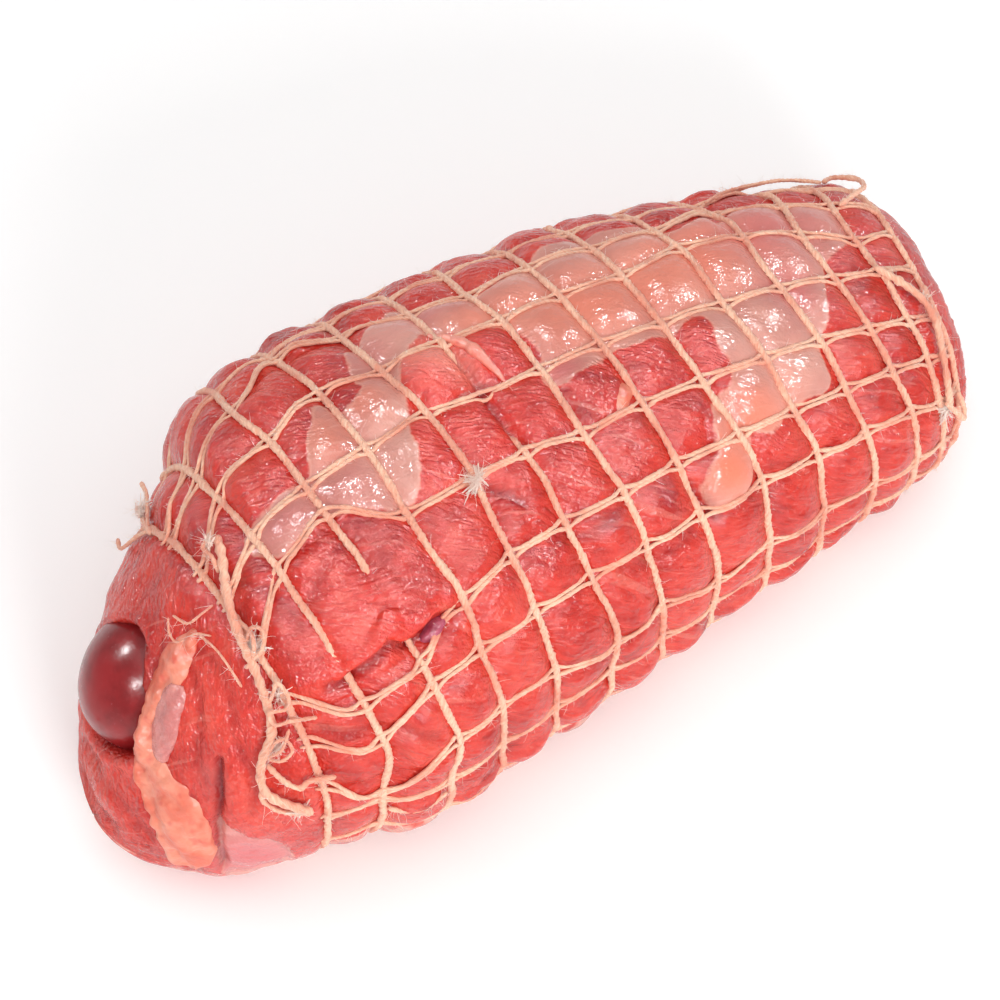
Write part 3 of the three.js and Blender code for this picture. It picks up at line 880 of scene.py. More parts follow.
def tube(path: Array, upward: Array, across: Array, thick: Array, sides: int) -> Array:
    """The grid of a tube along a path.

    Args:
        path: Its middle line.
        upward: Directions that its thickness follows.
        across: Half widths, one for each place or one for each place and side.
        thick: Half thicknesses, likewise.
        sides: How many sides it has.

    Returns:
        The grid of places, with a pole at each end.
    """
    along = unit(np.gradient(path, axis=0))
    side = unit(np.cross(along, upward))
    over = np.cross(side, along)
    turn = np.arange(sides) * 2 * math.pi / sides
    wide = np.broadcast_to(np.asarray(across, float).reshape(len(path), -1), (len(path), sides))
    high = np.broadcast_to(np.asarray(thick, float).reshape(len(path), -1), (len(path), sides))
    walls = (
        path[:, None]
        + side[:, None] * (np.cos(turn) * wide)[..., None]
        + over[:, None] * (np.sin(turn) * high)[..., None]
    )
    start = path[0] - along[0] * high[0].mean() * 0.5
    end = path[-1] + along[-1] * high[-1].mean() * 0.5
    return np.concatenate([
        np.broadcast_to(start, (1, sides, 3)), walls, np.broadcast_to(end, (1, sides, 3)),
    ])


def tube_chart(path: Array, radius: float, sides: int) -> tuple[Array, float]:
    """The map of a tube: millimetres along it and round it, and how far round one turn is."""
    run = np.concatenate([[0], np.cumsum(np.linalg.norm(np.diff(path, axis=0), axis=1))])
    run = np.concatenate([run[:1], run, run[-1:]])
    girth = 2 * math.pi * radius
    round_ = np.arange(sides) * girth / sides
    return np.stack(np.broadcast_arrays(run[:, None], round_[None]), -1), girth


class Socket:
    """A number, colour or direction that a material works out."""

    def __init__(self, paint: "Paint", socket: bpy.types.NodeSocket) -> None:
        """Wraps a node's output."""
        self.paint = paint
        self.socket = socket

    def _math(self, operation: str, first: "Socket | float", second: "Socket | float" = 0.0) -> "Socket":
        """One Math node."""
        return self.paint.node("ShaderNodeMath", {"operation": operation}, {0: first, 1: second})

    def __add__(self, other: "Socket | float") -> "Socket":
        """Adds a number."""
        return self._math("ADD", self, other)

    def __sub__(self, other: "Socket | float") -> "Socket":
        """Takes a number away."""
        return self._math("SUBTRACT", self, other)

    def __rsub__(self, other: float) -> "Socket":
        """Takes this away from a number."""
        return self._math("SUBTRACT", other, self)

    def __mul__(self, other: "Socket | float") -> "Socket":
        """Multiplies by a number."""
        return self._math("MULTIPLY", self, other)

    def __abs__(self) -> "Socket":
        """Without its sign."""
        return self._math("ABSOLUTE", self)

    __radd__ = __add__
    __rmul__ = __mul__

    def between(self, low: float, high: float) -> "Socket":
        """Rises smoothly from 0 at low to 1 at high, or falls where low is above high."""
        settings = {"interpolation_type": "SMOOTHSTEP"}
        inputs = {"Value": self, 1: low, 2: high, 3: 0.0, 4: 1.0}
        if low > high:
            inputs = {"Value": self, 1: high, 2: low, 3: 1.0, 4: 0.0}
        return self.paint.node("ShaderNodeMapRange", settings, inputs)


def shade(code: str) -> Colour:
    """A colour from its six-digit code, as the renderer's own linear light."""
    parts = [int(code[i : i + 2], 16) / 255 for i in (0, 2, 4)]
    linear = [c / 12.92 if c <= 0.04045 else ((c + 0.055) / 1.055) ** 2.4 for c in parts]
    return linear[0], linear[1], linear[2], 1.0


class Paint:
    """A material's node tree."""

    def __init__(self, name: str) -> None:
        """Starts a material with its shader and output."""
        self.material = bpy.data.materials.new(name)
        self.material.use_nodes = True
        self.tree = self.material.node_tree
        self.tree.nodes.clear()
        self.shader = self.tree.nodes.new("ShaderNodeBsdfPrincipled")
        output = self.tree.nodes.new("ShaderNodeOutputMaterial")
        self.tree.links.new(self.shader.outputs[0], output.inputs[0])

    def node(
        self, kind: str, settings: dict | None = None, inputs: dict | None = None, output: int | str = 0
    ) -> Socket:
        """Adds a node.

        Args:
            kind: Its type.
            settings: Its own settings; stops gives a ramp's places and colours.
            inputs: Values or links of its sockets, by name or number.
            output: Which output is wanted.

        Returns:
            That output.
        """
        made = self.tree.nodes.new(kind)
        for name, value in (settings or {}).items():
            if name == "stops":
                self._stops(made.color_ramp, value)
            else:
                setattr(made, name, value)
        for name, value in (inputs or {}).items():
            self.feed(made.inputs[name], value)
        return Socket(self, made.outputs[output])

    @staticmethod
    def _stops(ramp: bpy.types.ColorRamp, stops: list[tuple[float, Colour]]) -> None:
        """Sets a ramp's stops."""
        while len(ramp.elements) < len(stops):
            ramp.elements.new(0.5)
        for element, (place, colour) in zip(ramp.elements, stops):
            element.position = place
            element.color = colour

    def feed(self, socket: bpy.types.NodeSocket, value: "Socket | float | tuple") -> None:
        """Links or sets a socket."""
        if isinstance(value, Socket):
            self.tree.links.new(value.socket, socket)
        else:
            socket.default_value = value

    def set(self, **values: "Socket | float | tuple") -> None:
        """Feeds the shader's own sockets; underscores in the names stand for spaces."""
        for name, value in values.items():
            self.feed(self.shader.inputs[name.replace("_", " ")], value)

    def mix(self, share: "Socket | float", first: "Socket | tuple", second: "Socket | tuple") -> Socket:
        """A colour between two, or the second where the share is 1."""
        return self.node("ShaderNodeMix", {"data_type": "RGBA"}, {0: share, 6: first, 7: second}, 2)

    def attribute(self, name: str) -> Socket:
        """A number kept on the mesh."""
        return self.node("ShaderNodeAttribute", {"attribute_name": name}, None, "Fac")

    def place(self) -> Socket:
        """The place on the object, in metres."""
        return self.node("ShaderNodeTexCoord", None, None, "Object")

    def chart(self) -> Socket:
        """The piece's own map."""
        return self.node("ShaderNodeUVMap", {"uv_map": "lay"})

    def turned(self, vector: Socket, axis: str, degrees: float) -> Socket:
        """A vector turned about an axis."""
        inputs = {"Vector": vector, "Angle": math.radians(degrees)}
        return self.node("ShaderNodeVectorRotate", {"rotation_type": f"{axis}_AXIS"}, inputs)

    def moved(self, vector: Socket, scale: tuple[float, float, float], turn: float = 0.0) -> Socket:
        """A vector turned about Z by degrees and then scaled."""
        inputs = {0: self.turned(vector, "Z", turn), 1: scale}
        return self.node("ShaderNodeVectorMath", {"operation": "MULTIPLY"}, inputs)

    def warped(self, vector: Socket, scale: float, strength: float) -> Socket:
        """A vector pushed about by slow noise, by strength in metres."""
        inputs = {"Vector": self.place(), "Scale": scale, "Detail": 1.0}
        noise = self.node("ShaderNodeTexNoise", None, inputs, 1)
        middle = (0.5, 0.5, 0.5)
        centred = self.node("ShaderNodeVectorMath", {"operation": "SUBTRACT"}, {0: noise, 1: middle})
        pushed = self.node("ShaderNodeVectorMath", {"operation": "SCALE"}, {0: centred, "Scale": strength})
        return self.node("ShaderNodeVectorMath", {"operation": "ADD"}, {0: vector, 1: pushed})

    def noise(self, vector: Socket, scale: float = 1.0, detail: float = 3.0, rough: float = 0.55) -> Socket:
        """Plain noise, from 0 to 1."""
        inputs = {"Vector": vector, "Scale": scale, "Detail": detail, "Roughness": rough}
        return self.node("ShaderNodeTexNoise", None, inputs)

    def bump(
        self, height: Socket, distance: float, strength: float = 1.0, under: Socket | None = None
    ) -> Socket:
        """A bumped normal, with its full height in metres."""
        inputs = {"Height": height, "Distance": distance, "Strength": strength}
        if under is not None:
            inputs["Normal"] = under
        return self.node("ShaderNodeBump", None, inputs)


@dataclass(frozen=True)
class MuscleFinish:
    """Raw veal muscle with its silverskin, painted by the marks of the mesh."""

    deep: str = "AC1E18"
    flesh: str = "D0352A"
    light: str = "E04E3E"
    bright: str = "F03A2C"
    # colour of the painted shade in creases, hollows and under the flap
    gloom: str = "7A1018"
    skin: str = "C4857A"
    skin_pale: str = "DCA294"
    peach: str = "F0886C"
    lilac: str = "D26E70"
    pale: str = "F08272"
    # pale connective tissue, also used for painted glints on the fibres' crests
    marbling_and_glint: str = "E2796A"
    hair: str = "ECC4B6"
    rim: str = "EFB39F"
    fibre_turn: float = 32.0
    end_turn: float = -56.0
    end_tip: float = 29.0
    relief: float = 0.0008

    def material(self, name: str) -> bpy.types.Material:
        """Makes the material."""
        paint = Paint(name)
        lay = paint.warped(paint.chart(), 40.0, 0.011)
        fibre = self._fibres(paint, lay, 300.0, 900.0, 2.0)
        bundle = self._fibres(paint, lay, 180.0, 480.0, 1.0)
        place = paint.place()
        broad = paint.noise(place, 38.0, 3.0)
        cloud = paint.noise(place, 130.0, 3.0)
        wet = paint.noise(place, 640.0, 2.0, 0.6)
        tone = broad * 0.5 + cloud * 0.3 + bundle * 0.25 - 0.03
        flesh = paint.node("ShaderNodeValToRGB", {"stops": [
            (0.36, shade(self.deep)), (0.5, shade(self.flesh)), (0.66, shade(self.light)),
        ]}, {"Fac": tone})
        flesh = paint.mix(fibre.between(0.47, 0.36) * 0.18, flesh, shade(self.deep))
        # pale flecks on the fibres' crests: partly connective tissue, partly painted glints
        flesh = paint.mix(fibre.between(0.58, 0.72) * 0.28, flesh, shade(self.marbling_and_glint))
        vein = paint.noise(paint.moved(lay, (26, 300, 1), self.fibre_turn + 8), 1.0, 2.0)
        flesh = paint.mix(vein.between(0.63, 0.7) * 0.4, flesh, shade(self.marbling_and_glint))
        flesh = paint.mix(paint.attribute(Mark.BRIGHT.value) * 0.6, flesh, shade(self.bright))
        flesh = paint.mix(paint.attribute(Mark.PALE.value) * 0.9, flesh, shade(self.pale))
        edge = (cloud - 0.5) * 5.0 + paint.attribute(Mark.MEMBRANE.value)
        membrane = edge.between(-0.45, 0.45)
        hair = paint.noise(paint.moved(lay, (60, 700, 1), 12.0), 1.0, 2.0)
        skin = paint.mix(broad.between(0.35, 0.65), shade(self.skin), shade(self.skin_pale))
        skin = paint.mix(hair.between(0.6, 0.74) * 0.35, skin, shade(self.hair))
        skin = paint.mix(paint.attribute(Mark.PEACH.value), skin, shade(self.peach))
        skin = paint.mix(paint.attribute(Mark.LILAC.value) * 0.9, skin, shade(self.lilac))
        colour = paint.mix(membrane * 0.92, flesh, skin)
        rim = edge.between(-0.7, 0.0) * edge.between(0.8, 0.1)
        colour = paint.mix(rim * 0.35, colour, shade(self.rim))
        outside = 1 - membrane
        colour = paint.mix(paint.attribute(Mark.LILAC.value) * outside * 0.45, colour, shade(self.lilac))
        # painted shade in creases, hollows and under the flap
        colour = paint.mix(paint.attribute(Mark.GLOOM.value) * 0.8, colour, shade(self.gloom))
        bare = paint.attribute(Mark.MEMBRANE.value).between(0.8, -0.8)
        wrinkles = abs(bundle - 0.5) * (bare * 1.15 + 0.4) + (fibre - 0.5) * (bare * 0.2 + 0.05)
        drops = (wet - 0.5) * (bare * 0.42 + 0.37)
        dry = cloud.between(0.48, 0.62)
        paint.set(
            Base_Color=colour,
            Roughness=0.08 + wet * 0.06 + dry * 0.1,
            Normal=paint.bump(wrinkles + drops, self.relief),
            IOR=1.45,
            Specular_IOR_Level=0.5,
            Subsurface_Weight=0.12,
            Subsurface_Radius=(1.0, 0.35, 0.25),
            Subsurface_Scale=0.004,
        )
        return paint.material

    def _fibres(self, paint: Paint, lay: Socket, along: float, across: float, detail: float) -> Socket:
        """Noise drawn out along the muscle's fibres, round the roll and down its ends."""
        around = paint.noise(paint.moved(lay, (along, across, 1), self.fibre_turn), 1.0, detail)
        tipped = paint.turned(paint.turned(paint.place(), "Z", self.end_turn), "Y", self.end_tip)
        down = paint.noise(paint.moved(tipped, (along, across, across)), 1.0, detail)
        end = paint.attribute(Mark.END.value)
        return around * (1 - end) + down * end


@dataclass(frozen=True)
class KidneyFinish:
    """The kidney: dark, smooth and wet."""

    dark: str = "7C1014"
    light: str = "961C20"
    sheen: str = "943038"

    def material(self, name: str) -> bpy.types.Material:
        """Makes the material."""
        paint = Paint(name)
        place = paint.place()
        cloud = paint.noise(place, 90.0, 3.0)
        fine = paint.noise(place, 900.0, 2.0)
        colour = paint.mix(cloud.between(0.35, 0.65), shade(self.dark), shade(self.light))
        colour = paint.mix(fine.between(0.55, 0.75) * 0.25, colour, shade(self.sheen))
        bumps = paint.bump(fine * 0.2 + cloud, 0.0002)
        paint.set(
            Base_Color=colour,
            Roughness=0.2 + fine * 0.1,
            Normal=bumps,
            Specular_IOR_Level=0.32,
            Coat_Weight=0.1,
            Coat_Roughness=0.3,
            Subsurface_Weight=0.08,
            Subsurface_Radius=(1.0, 0.25, 0.2),
            Subsurface_Scale=0.002,
        )
        return paint.material


@dataclass(frozen=True)
class FatFinish:
    """Soft fat, or a membrane over it: a mottled skin with a wet sheen."""

    base: str = "E06A50"
    pale: str = "EC9076"
    red: str = "D04A3E"
    rough: float = 0.3

    def material(self, name: str) -> bpy.types.Material:
        """Makes the material."""
        paint = Paint(name)
        place = paint.place()
        broad = paint.noise(place, 110.0, 3.0)
        fine = paint.noise(place, 700.0, 2.0, 0.6)
        inputs = {"Vector": place, "Scale": 330.0}
        lumps = paint.node("ShaderNodeTexVoronoi", {"feature": "SMOOTH_F1"}, inputs)
        colour = paint.mix(broad.between(0.35, 0.65), shade(self.base), shade(self.pale))
        red = paint.noise(place, 210.0, 2.0).between(0.55, 0.7)
        colour = paint.mix(red * 0.5, colour, shade(self.red))
        under = paint.bump(lumps, 0.0005, 0.7)
        paint.set(
            Base_Color=colour,
            Roughness=self.rough + fine * 0.14,
            Normal=paint.bump(fine, 0.0003, 1.0, under),
            Specular_IOR_Level=0.55,
            Subsurface_Weight=0.25,
            Subsurface_Radius=(1.0, 0.5, 0.35),
            Subsurface_Scale=0.004,
        )
        return paint.material


@dataclass(frozen=True)
class CordFinish:
    """Cotton cord, stained here and there by the meat."""

    cotton: str = "EEA88A"
    pale: str = "FBCBAE"
    stained: str = "E07E66"
    twist: float = 42.0

    def material(self, name: str) -> bpy.types.Material:
        """Makes the material."""
        paint = Paint(name)
        place = paint.place()
        lay = paint.chart()
        plies = paint.noise(paint.moved(lay, (360, 1500, 1), self.twist), 1.0, 2.0, 0.6)
        fluff = paint.noise(place, 1500.0, 2.0, 0.6)
        stain = paint.noise(place, 55.0, 3.0).between(0.42, 0.66)
        colour = paint.mix(plies.between(0.3, 0.65), shade(self.cotton), shade(self.pale))
        colour = paint.mix(stain * 0.65, colour, shade(self.stained))
        under = paint.bump(plies, 0.0005)
        paint.set(
            Base_Color=colour,
            Roughness=0.88,
            Normal=paint.bump(fluff, 0.00025, 0.8, under),
            Specular_IOR_Level=0.25,
            Sheen_Weight=0.25,
            Sheen_Roughness=0.6,
        )
        return paint.material


def dress(piece: bpy.types.Object, material: bpy.types.Material, slot: Slot, *nodes: str) -> bpy.types.Object:
    """Gives a piece its finish and its place in the frame.

    Args:
        piece: The object.
        material: Its finish.
        slot: Not used.
        nodes: The frame's nodes that it stands for.

    Returns:
        The same object.
    """
    piece.data.materials.append(material)
    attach(piece, BODY)
    if nodes:
        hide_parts(*nodes)
    log.info("%s: %d faces", piece.name, len(piece.data.polygons))
    return piece


@dataclass
class MeatRoll:
    """The rolled loin itself."""

    surface: MeatSurface
    rows: int = 300
    columns: int = 304

    def build(self) -> bpy.types.Object:
        """Lays the meat's grid and makes its mesh."""
        shape = self.surface.shape
        stations = shape.stations(self.rows + 1)
        degrees = 180 - FULL_TURN * np.arange(self.columns) / self.columns
        x, angle = np.meshgrid(stations, degrees, indexing="ij")
        base = shape.surface(x, angle)
        outward = self._outward(base)
        height = self.surface.height(x, angle, base, outward)
        places = base + outward * height[..., None]
        gap = np.minimum(self.surface.net.ring_gap(x, angle), self.surface.net.strand_gap(x, angle))
        floor = MeatSurface.FLOOR_GROOVE * np.exp(-((gap / 2.4) ** 2))
        places[..., 2] = np.maximum(places[..., 2], floor)
        marks = self.surface.marks(x, angle, base, outward)
        around = shape.girth(np.zeros(1))[0]
        chart = np.stack([x, (180 - angle) * around], -1)
        balls = Balls()
        painted = {mark.value: values for mark, values in marks.items()}
        balls.add(places, chart, FULL_TURN * around, **painted)
        return balls.mesh("veal_roll_meat")

    @staticmethod
    def _outward(base: Array) -> Array:
        """Directions straight out of the grid, its tips included."""
        along = np.gradient(base, axis=0)
        around = np.roll(base, -1, axis=1) - np.roll(base, 1, axis=1)
        outward = unit(np.cross(along, around))
        outward[0] = (-1, 0, 0)
        outward[-1] = (1, 0, 0)
        return outward


@dataclass
class Kidney:
    """The kidney, whose end shows at the near end of the roll."""

    tip: float = -139.5
    length: float = 130.0
    half_width: float = 20.0
    half_height: float = 22.5
    side: float = 3.0
    height: float = 57.0
    rows: int = 110
    columns: int = 90

    def build(self) -> bpy.types.Object:
        """Makes the kidney's mesh."""
        cap = self.half_height
        turn = np.linspace(0, math.pi, self.rows + 1)
        opened = np.sin(turn)
        straight = self.length / 2 - cap
        run = -np.cos(turn) * cap - np.clip(np.cos(turn) * 6, -1, 1) * straight
        around = np.arange(self.columns) * 2 * math.pi / self.columns
        x = np.broadcast_to((self.tip + self.length / 2 + run)[:, None], (self.rows + 1, self.columns))
        lobes = 1 + 0.035 * np.sin(x / 9.0 + 1.2) * smooth_step((x + 108) / 20)
        y = self.side + self.half_width * opened[:, None] * lobes * np.sin(-around)
        z = self.height + self.half_height * opened[:, None] * lobes * np.cos(around)
        places = np.stack([x, y, z], -1)
        out = unit(places - np.array([x.mean(), self.side, self.height]))
        places = places + 0.35 * Grain(31).at(places / 9)[..., None] * out
        places[0] = places[0].mean(0)
        places[-1] = places[-1].mean(0)
        balls = Balls()
        balls.add(places)
        return balls.mesh("kidney_lobe")


@dataclass
class EndGround:
    """Finds the meat behind a place on the kidney end's face."""

    end: EndFace
    meat: bpy.types.Object
    tree: BVHTree = field(init=False)

    def __post_init__(self) -> None:
        """Sorts the meat's faces for finding."""
        self.tree = BVHTree.FromObject(self.meat, bpy.context.evaluated_depsgraph_get())

    def place(self, u: float, v: float) -> tuple[Array, Array]:
        """The meat's place and its outward direction behind a place on the face."""
        right, up, back = self.end.axes()
        for nearer in np.linspace(1.0, 0.6, 9):
            spot = np.array(self.end.middle) + (right * u + up * v) * nearer
            hit, normal, _, _ = self.tree.ray_cast(Vector((spot + back * 200) * MM), Vector(-back))
            if hit is not None:
                return np.array(hit) / MM, np.array(normal)
        return spot, back

    def places(self, u: Array, v: Array) -> tuple[Array, Array]:
        """The same for arrays."""
        found = [self.place(a, b) for a, b in zip(np.ravel(u), np.ravel(v))]
        spots = np.array([f[0] for f in found]).reshape(*np.shape(u), 3)
        normals = np.array([f[1] for f in found]).reshape(*np.shape(u), 3)
        return spots, normals


@dataclass
class KidneyFat:
    """The fat band beside the kidney and the thin membrane over it, laid out on the kidney end's face."""

    ground: EndGround
    # The band's middle line, right and up, with its half width.
    band: Route = (
        (23.0, 18.0, 0.7), (20.6, 14.0, 3.0), (17.8, 10.0, 4.4), (15.2, 4.9, 4.6), (11.0, -1.4, 3.2),
        (8.8, -8.1, 2.6), (8.2, -15.7, 3.4), (10.6, -24.0, 6.4), (14.6, -30.8, 8.2), (17.6, -37.8, 8.2),
        (19.4, -44.0, 7.0),
        (21.0, -48.0, 4.0),
    )
    membrane: Route = (
        (18.0, 3.2, 1.6), (17.0, 0.2, 3.2), (15.0, -5.0, 4.0), (13.8, -10.4, 3.8), (13.0, -15.0, 2.8),
        (13.5, -18.2, 1.2),
    )
    thickness: float = 1.7
    columns: int = 40

    def build(self) -> tuple[bpy.types.Object, bpy.types.Object]:
        """Makes both."""
        return (
            self._ribbon("kidney_fat_band", self.band, self.thickness, 0.8, 41),
            self._ribbon("kidney_membrane", self.membrane, 1.9, 0.12, 42),
        )

    def _ribbon(self, name: str, line: Route, thickness: float, lumps: float, seed: int) -> bpy.types.Object:
        """A band that lies on the meat, with its edges sunk in."""
        middle = evenly(spline(line, 10), 0.7)
        along = unit(np.gradient(middle[:, :2], axis=0))
        beside = np.stack([along[:, 1], -along[:, 0]], -1)
        turn = np.arange(self.columns) * 2 * math.pi / self.columns
        grain = Grain(seed)
        flat = np.pad(middle[:, :2] / 5, ((0, 0), (0, 1)))
        wide = middle[:, 2] * (1 + 0.16 * grain.layered(flat))
        off = np.cos(turn)[None] * wide[:, None]
        u = middle[:, :1] + beside[:, :1] * off
        v = middle[:, 1:2] + beside[:, 1:2] * off
        spots, normals = self.ground.places(u, v)
        normals = unit(normals + 2 * normals.mean(axis=1, keepdims=True))
        lift = np.sin(turn)[None] * thickness * np.minimum(wide / 2.2, 1)[:, None] - 0.25
        uneven = lift * (1 + 0.3 * grain.at(spots / 3.2)) + lumps * grain.at(spots / 2.4 + 5)
        lift = np.where(lift > -0.2, uneven, lift)
        places = spots + normals * lift[..., None]
        start = np.broadcast_to(places[0].mean(0), (1, self.columns, 3))
        end = np.broadcast_to(places[-1].mean(0), (1, self.columns, 3))
        balls = Balls()
        balls.add(np.concatenate([start, places, end]))
        return balls.mesh(name)


@dataclass(frozen=True)
class FlapSize:
    """A flap that lies on the meat: its middle and outline, in stations and degrees, and its thickness.

    The lip is the side that stands clear of the meat: the angle that it faces, and its share of the outline.
    """

    middle: tuple[float, float]
    outline: tuple[tuple[float, float], ...]
    thickness: float
    lip_angle: float
    lip_reach: float
    lip_gap: float
    rows: int = 64
    columns: int = 150
    lumps: float = 0.5


@dataclass
class MeatFlap:
    """The loose flap of muscle that laps over the net, the pink scrap by it and the fleck of fat."""

    surface: MeatSurface
    flap: FlapSize = FlapSize(
        (-83, 31),
        (
            (-103, 40), (-101.5, 43), (-97, 41.5), (-92, 39.5), (-88, 38.5), (-85.5, 37.6), (-82.5, 39.6),
            (-79.5, 40.4), (-76.5, 39.6), (-71, 38.6), (-67, 39.4), (-65.6, 37), (-66.5, 31), (-71, 24),
            (-78, 20), (-87, 18.5), (-95, 20.5), (-100.5, 26), (-103, 34),
        ),
        3.3, 90.0, 1.25, 0.9,
    )
    fleck: FlapSize = FlapSize(
        (8, 17.5),
        ((3, 20.7), (4.5, 17.5), (8, 14.4), (11.6, 13.4), (13.2, 16.5), (10, 19.2), (6.5, 21.6), (4, 22)),
        1.5, 0.0, 0.0, 0.0, 30, 60, 0.5,
    )
    vein: FlapSize = FlapSize(
        (-72.5, 42),
        ((-77, 42.4), (-74.5, 40.6), (-71, 39.6), (-67.5, 40.6), (-68.5, 42.4), (-72, 43.8), (-75.5, 44)),
        1.3, 0.0, 0.0, 0.0, 24, 48, 0.2,
    )
    scrap_roll: tuple[tuple[float, float], ...] = (
        (-26.5, -22), (-22.5, -18.5), (-20.5, -14), (-19.5, -9), (-18.5, -4), (-17.5, 0.5), (-18, 3.5),
    )

    def build(self) -> list[bpy.types.Object]:
        """Makes the flap, the scrap's rolled edge, the fleck and the vein under the flap's lip."""
        flap, fleck = self._drape("meat_flap", self.flap, 51), self._drape("fat_fleck", self.fleck, 52)
        return [flap, self._roll(), fleck, self._drape("cut_vein", self.vein, 53)]

    def _drape(self, name: str, size: FlapSize, seed: int) -> bpy.types.Object:
        """A flat ball draped on the meat, with a free lip on one side."""
        shape = self.surface.shape
        outline = evenly(spline(size.outline, 12, closed=True), 0.3) - np.array(size.middle)
        around = np.arctan2(outline[:, 1], outline[:, 0])
        order = np.argsort(around)
        turn = np.arange(size.columns) * 2 * math.pi / size.columns
        heading = (turn + math.pi) % (2 * math.pi) - math.pi
        far = np.interp(heading, around[order], np.hypot(*outline.T)[order], period=2 * math.pi)
        down = np.linspace(0, math.pi, size.rows + 1)[:, None]
        out = np.sin(down) ** 0.9
        x = size.middle[0] + out * (far * np.cos(turn))[None]
        degrees = size.middle[1] + out * (far * np.sin(turn))[None]
        off = wrapped(np.degrees(turn) - size.lip_angle) / 180 * math.pi
        lip = smooth_step((size.lip_reach - np.abs(off)) / 0.5)[None] if size.lip_reach else np.zeros((1, 1))
        base = shape.surface(x, degrees)
        outward = shape.outward(x, degrees)
        under = self.surface.height(x, degrees, base, outward)
        rise = np.abs(np.cos(down))
        top = np.cos(down) >= 0
        laid = (1 - lip) * (size.thickness * rise**1.5 - 0.9)
        full = lip * (size.lip_gap + size.thickness * rise**0.55) + laid
        free = lip * (size.lip_gap - 2.4 * rise) - (1 - lip) * (0.9 + rise)
        level = under * (1 - rise * 0.75) + 0.9 * rise * 0.75
        grain, fibres = Grain(seed), Grain(seed + 20)
        rough = size.lumps * grain.layered(base / 6.5, 2)
        drawn = np.stack([x / 6 + degrees / 9, degrees / 1.9 - x / 3.4, base[..., 2] / 30], -1)
        rough = rough + 0.22 * fibres.at(drawn)
        height = level + np.where(top, full + rough * np.clip(rise * 3, 0, 1), free)
        places = base + outward * height[..., None]
        around_mm = shape.girth(np.zeros(1))[0]
        balls = Balls()
        marks = {mark.value: np.zeros(x.shape) for mark in Mark}
        marks[Mark.MEMBRANE.value] = np.full(x.shape, -9.0)
        marks[Mark.BRIGHT.value] = np.full(x.shape, 0.35)
        # painted shade over the whole underside of the flap
        marks[Mark.GLOOM.value] = np.broadcast_to(np.where(top, 0.0, 1.0), x.shape)
        balls.add(places, np.stack([x, (180 - degrees) * around_mm], -1), 0.0, **marks)
        return balls.mesh(name)

    def _roll(self) -> bpy.types.Object:
        """The rolled edge of the pink scrap."""
        line = evenly(spline(self.scrap_roll, 8), 0.5)
        places, outward = self.surface.place(line[:, 0], line[:, 1], 0.6)
        share = np.linspace(0, 1, len(line))
        wobble = 1 + 0.3 * Grain(61).at(places / 2.2)
        radius = 1.25 * np.sin(np.clip(share * 1.1 + 0.05, 0, 1) * math.pi) ** 0.5 * wobble + 0.15
        balls = Balls()
        balls.add(tube(places, outward, radius * 1.15, radius, 20))
        return balls.mesh("scrap_rolled_edge")


@dataclass
class CordMaker:
    """Works out cords, threads and loose fibres, and keeps them until their mesh is made."""

    balls: Balls = field(default_factory=Balls)
    grain: Grain = field(default_factory=lambda: Grain(71))
    lines: list[tuple[Array, Array, float]] = field(default_factory=list)

    def cord(self, path: Array, upward: Array, radius: float, sides: int, plies: int = 2, lay: float = 4.2,
             uneven: float = 0.16, wide: float = 1.15) -> None:
        """Adds a twisted cord.

        Args:
            path: Its middle line.
            upward: Directions out of the meat.
            radius: Its radius.
            sides: How many sides it has.
            plies: How many plies show round it.
            lay: The length of one turn of a ply.
            uneven: How uneven it is.
            wide: How much wider it is than thick, as it lies pressed on the meat.
        """
        chart, wrap = tube_chart(path, radius, sides)
        run = chart[1:-1, :1, 0]
        turn = np.arange(sides)[None] * 2 * math.pi / sides
        twisted = 1 + 0.13 * np.cos(plies * (turn - 2 * math.pi * run / lay))
        knots = 1 + uneven * self.grain.layered(path / 1.7, 2)[:, None]
        section = radius * twisted * knots
        ends = np.minimum(np.arange(len(path)), np.arange(len(path))[::-1])[:, None]
        section = section * np.clip((ends + 1) / 2.5, 0, 1) ** 0.5
        self.balls.add(tube(path, upward, section * wide, section, sides), chart, wrap)
        self.lines.append((path, upward, radius))

    def fibre(self, start: Array, heading: Array, length: float, curl: Array, radius: float) -> None:
        """Adds one loose fibre that curls away from where it starts."""
        share = np.linspace(0, 1, 5)[:, None]
        path = start + heading * length * share + curl * length * share**2
        path[:, 2] = np.maximum(path[:, 2], 0.3)
        taper = radius * (1 - 0.6 * share)
        self.balls.add(tube(path, np.broadcast_to(unit(curl + 1e-3), path.shape), taper, taper, 3))

    def fuzz(
        self, count: int, seed: int, length: tuple[float, float] = (0.8, 2.6), radius: float = 0.055
    ) -> None:
        """Adds short loose fibres all along the cords made so far."""
        draw = np.random.default_rng(seed)
        sizes = np.array([len(path) for path, _, _ in self.lines], float)
        for number in draw.choice(len(self.lines), count, p=sizes / sizes.sum()):
            path, upward, thick = self.lines[number]
            i = int(draw.integers(1, len(path) - 1))
            along = unit(path[i + 1] - path[i - 1])
            side = unit(np.cross(along, upward[i]))
            lean = draw.uniform(-1.2, 1.2)
            out = unit(upward[i] * math.cos(lean) + side * math.sin(lean))
            heading = unit(out * draw.uniform(0.3, 1.0) + along * draw.uniform(-1, 1))
            curl = unit(draw.normal(size=3)) * 0.5
            self.fibre(path[i] + out * thick * 0.8, heading, draw.uniform(*length), curl, radius)

    def mesh(self, name: str) -> bpy.types.Object:
        """Makes the piece and starts again."""
        piece = self.balls.mesh(name)
        self.balls = Balls()
        return piece


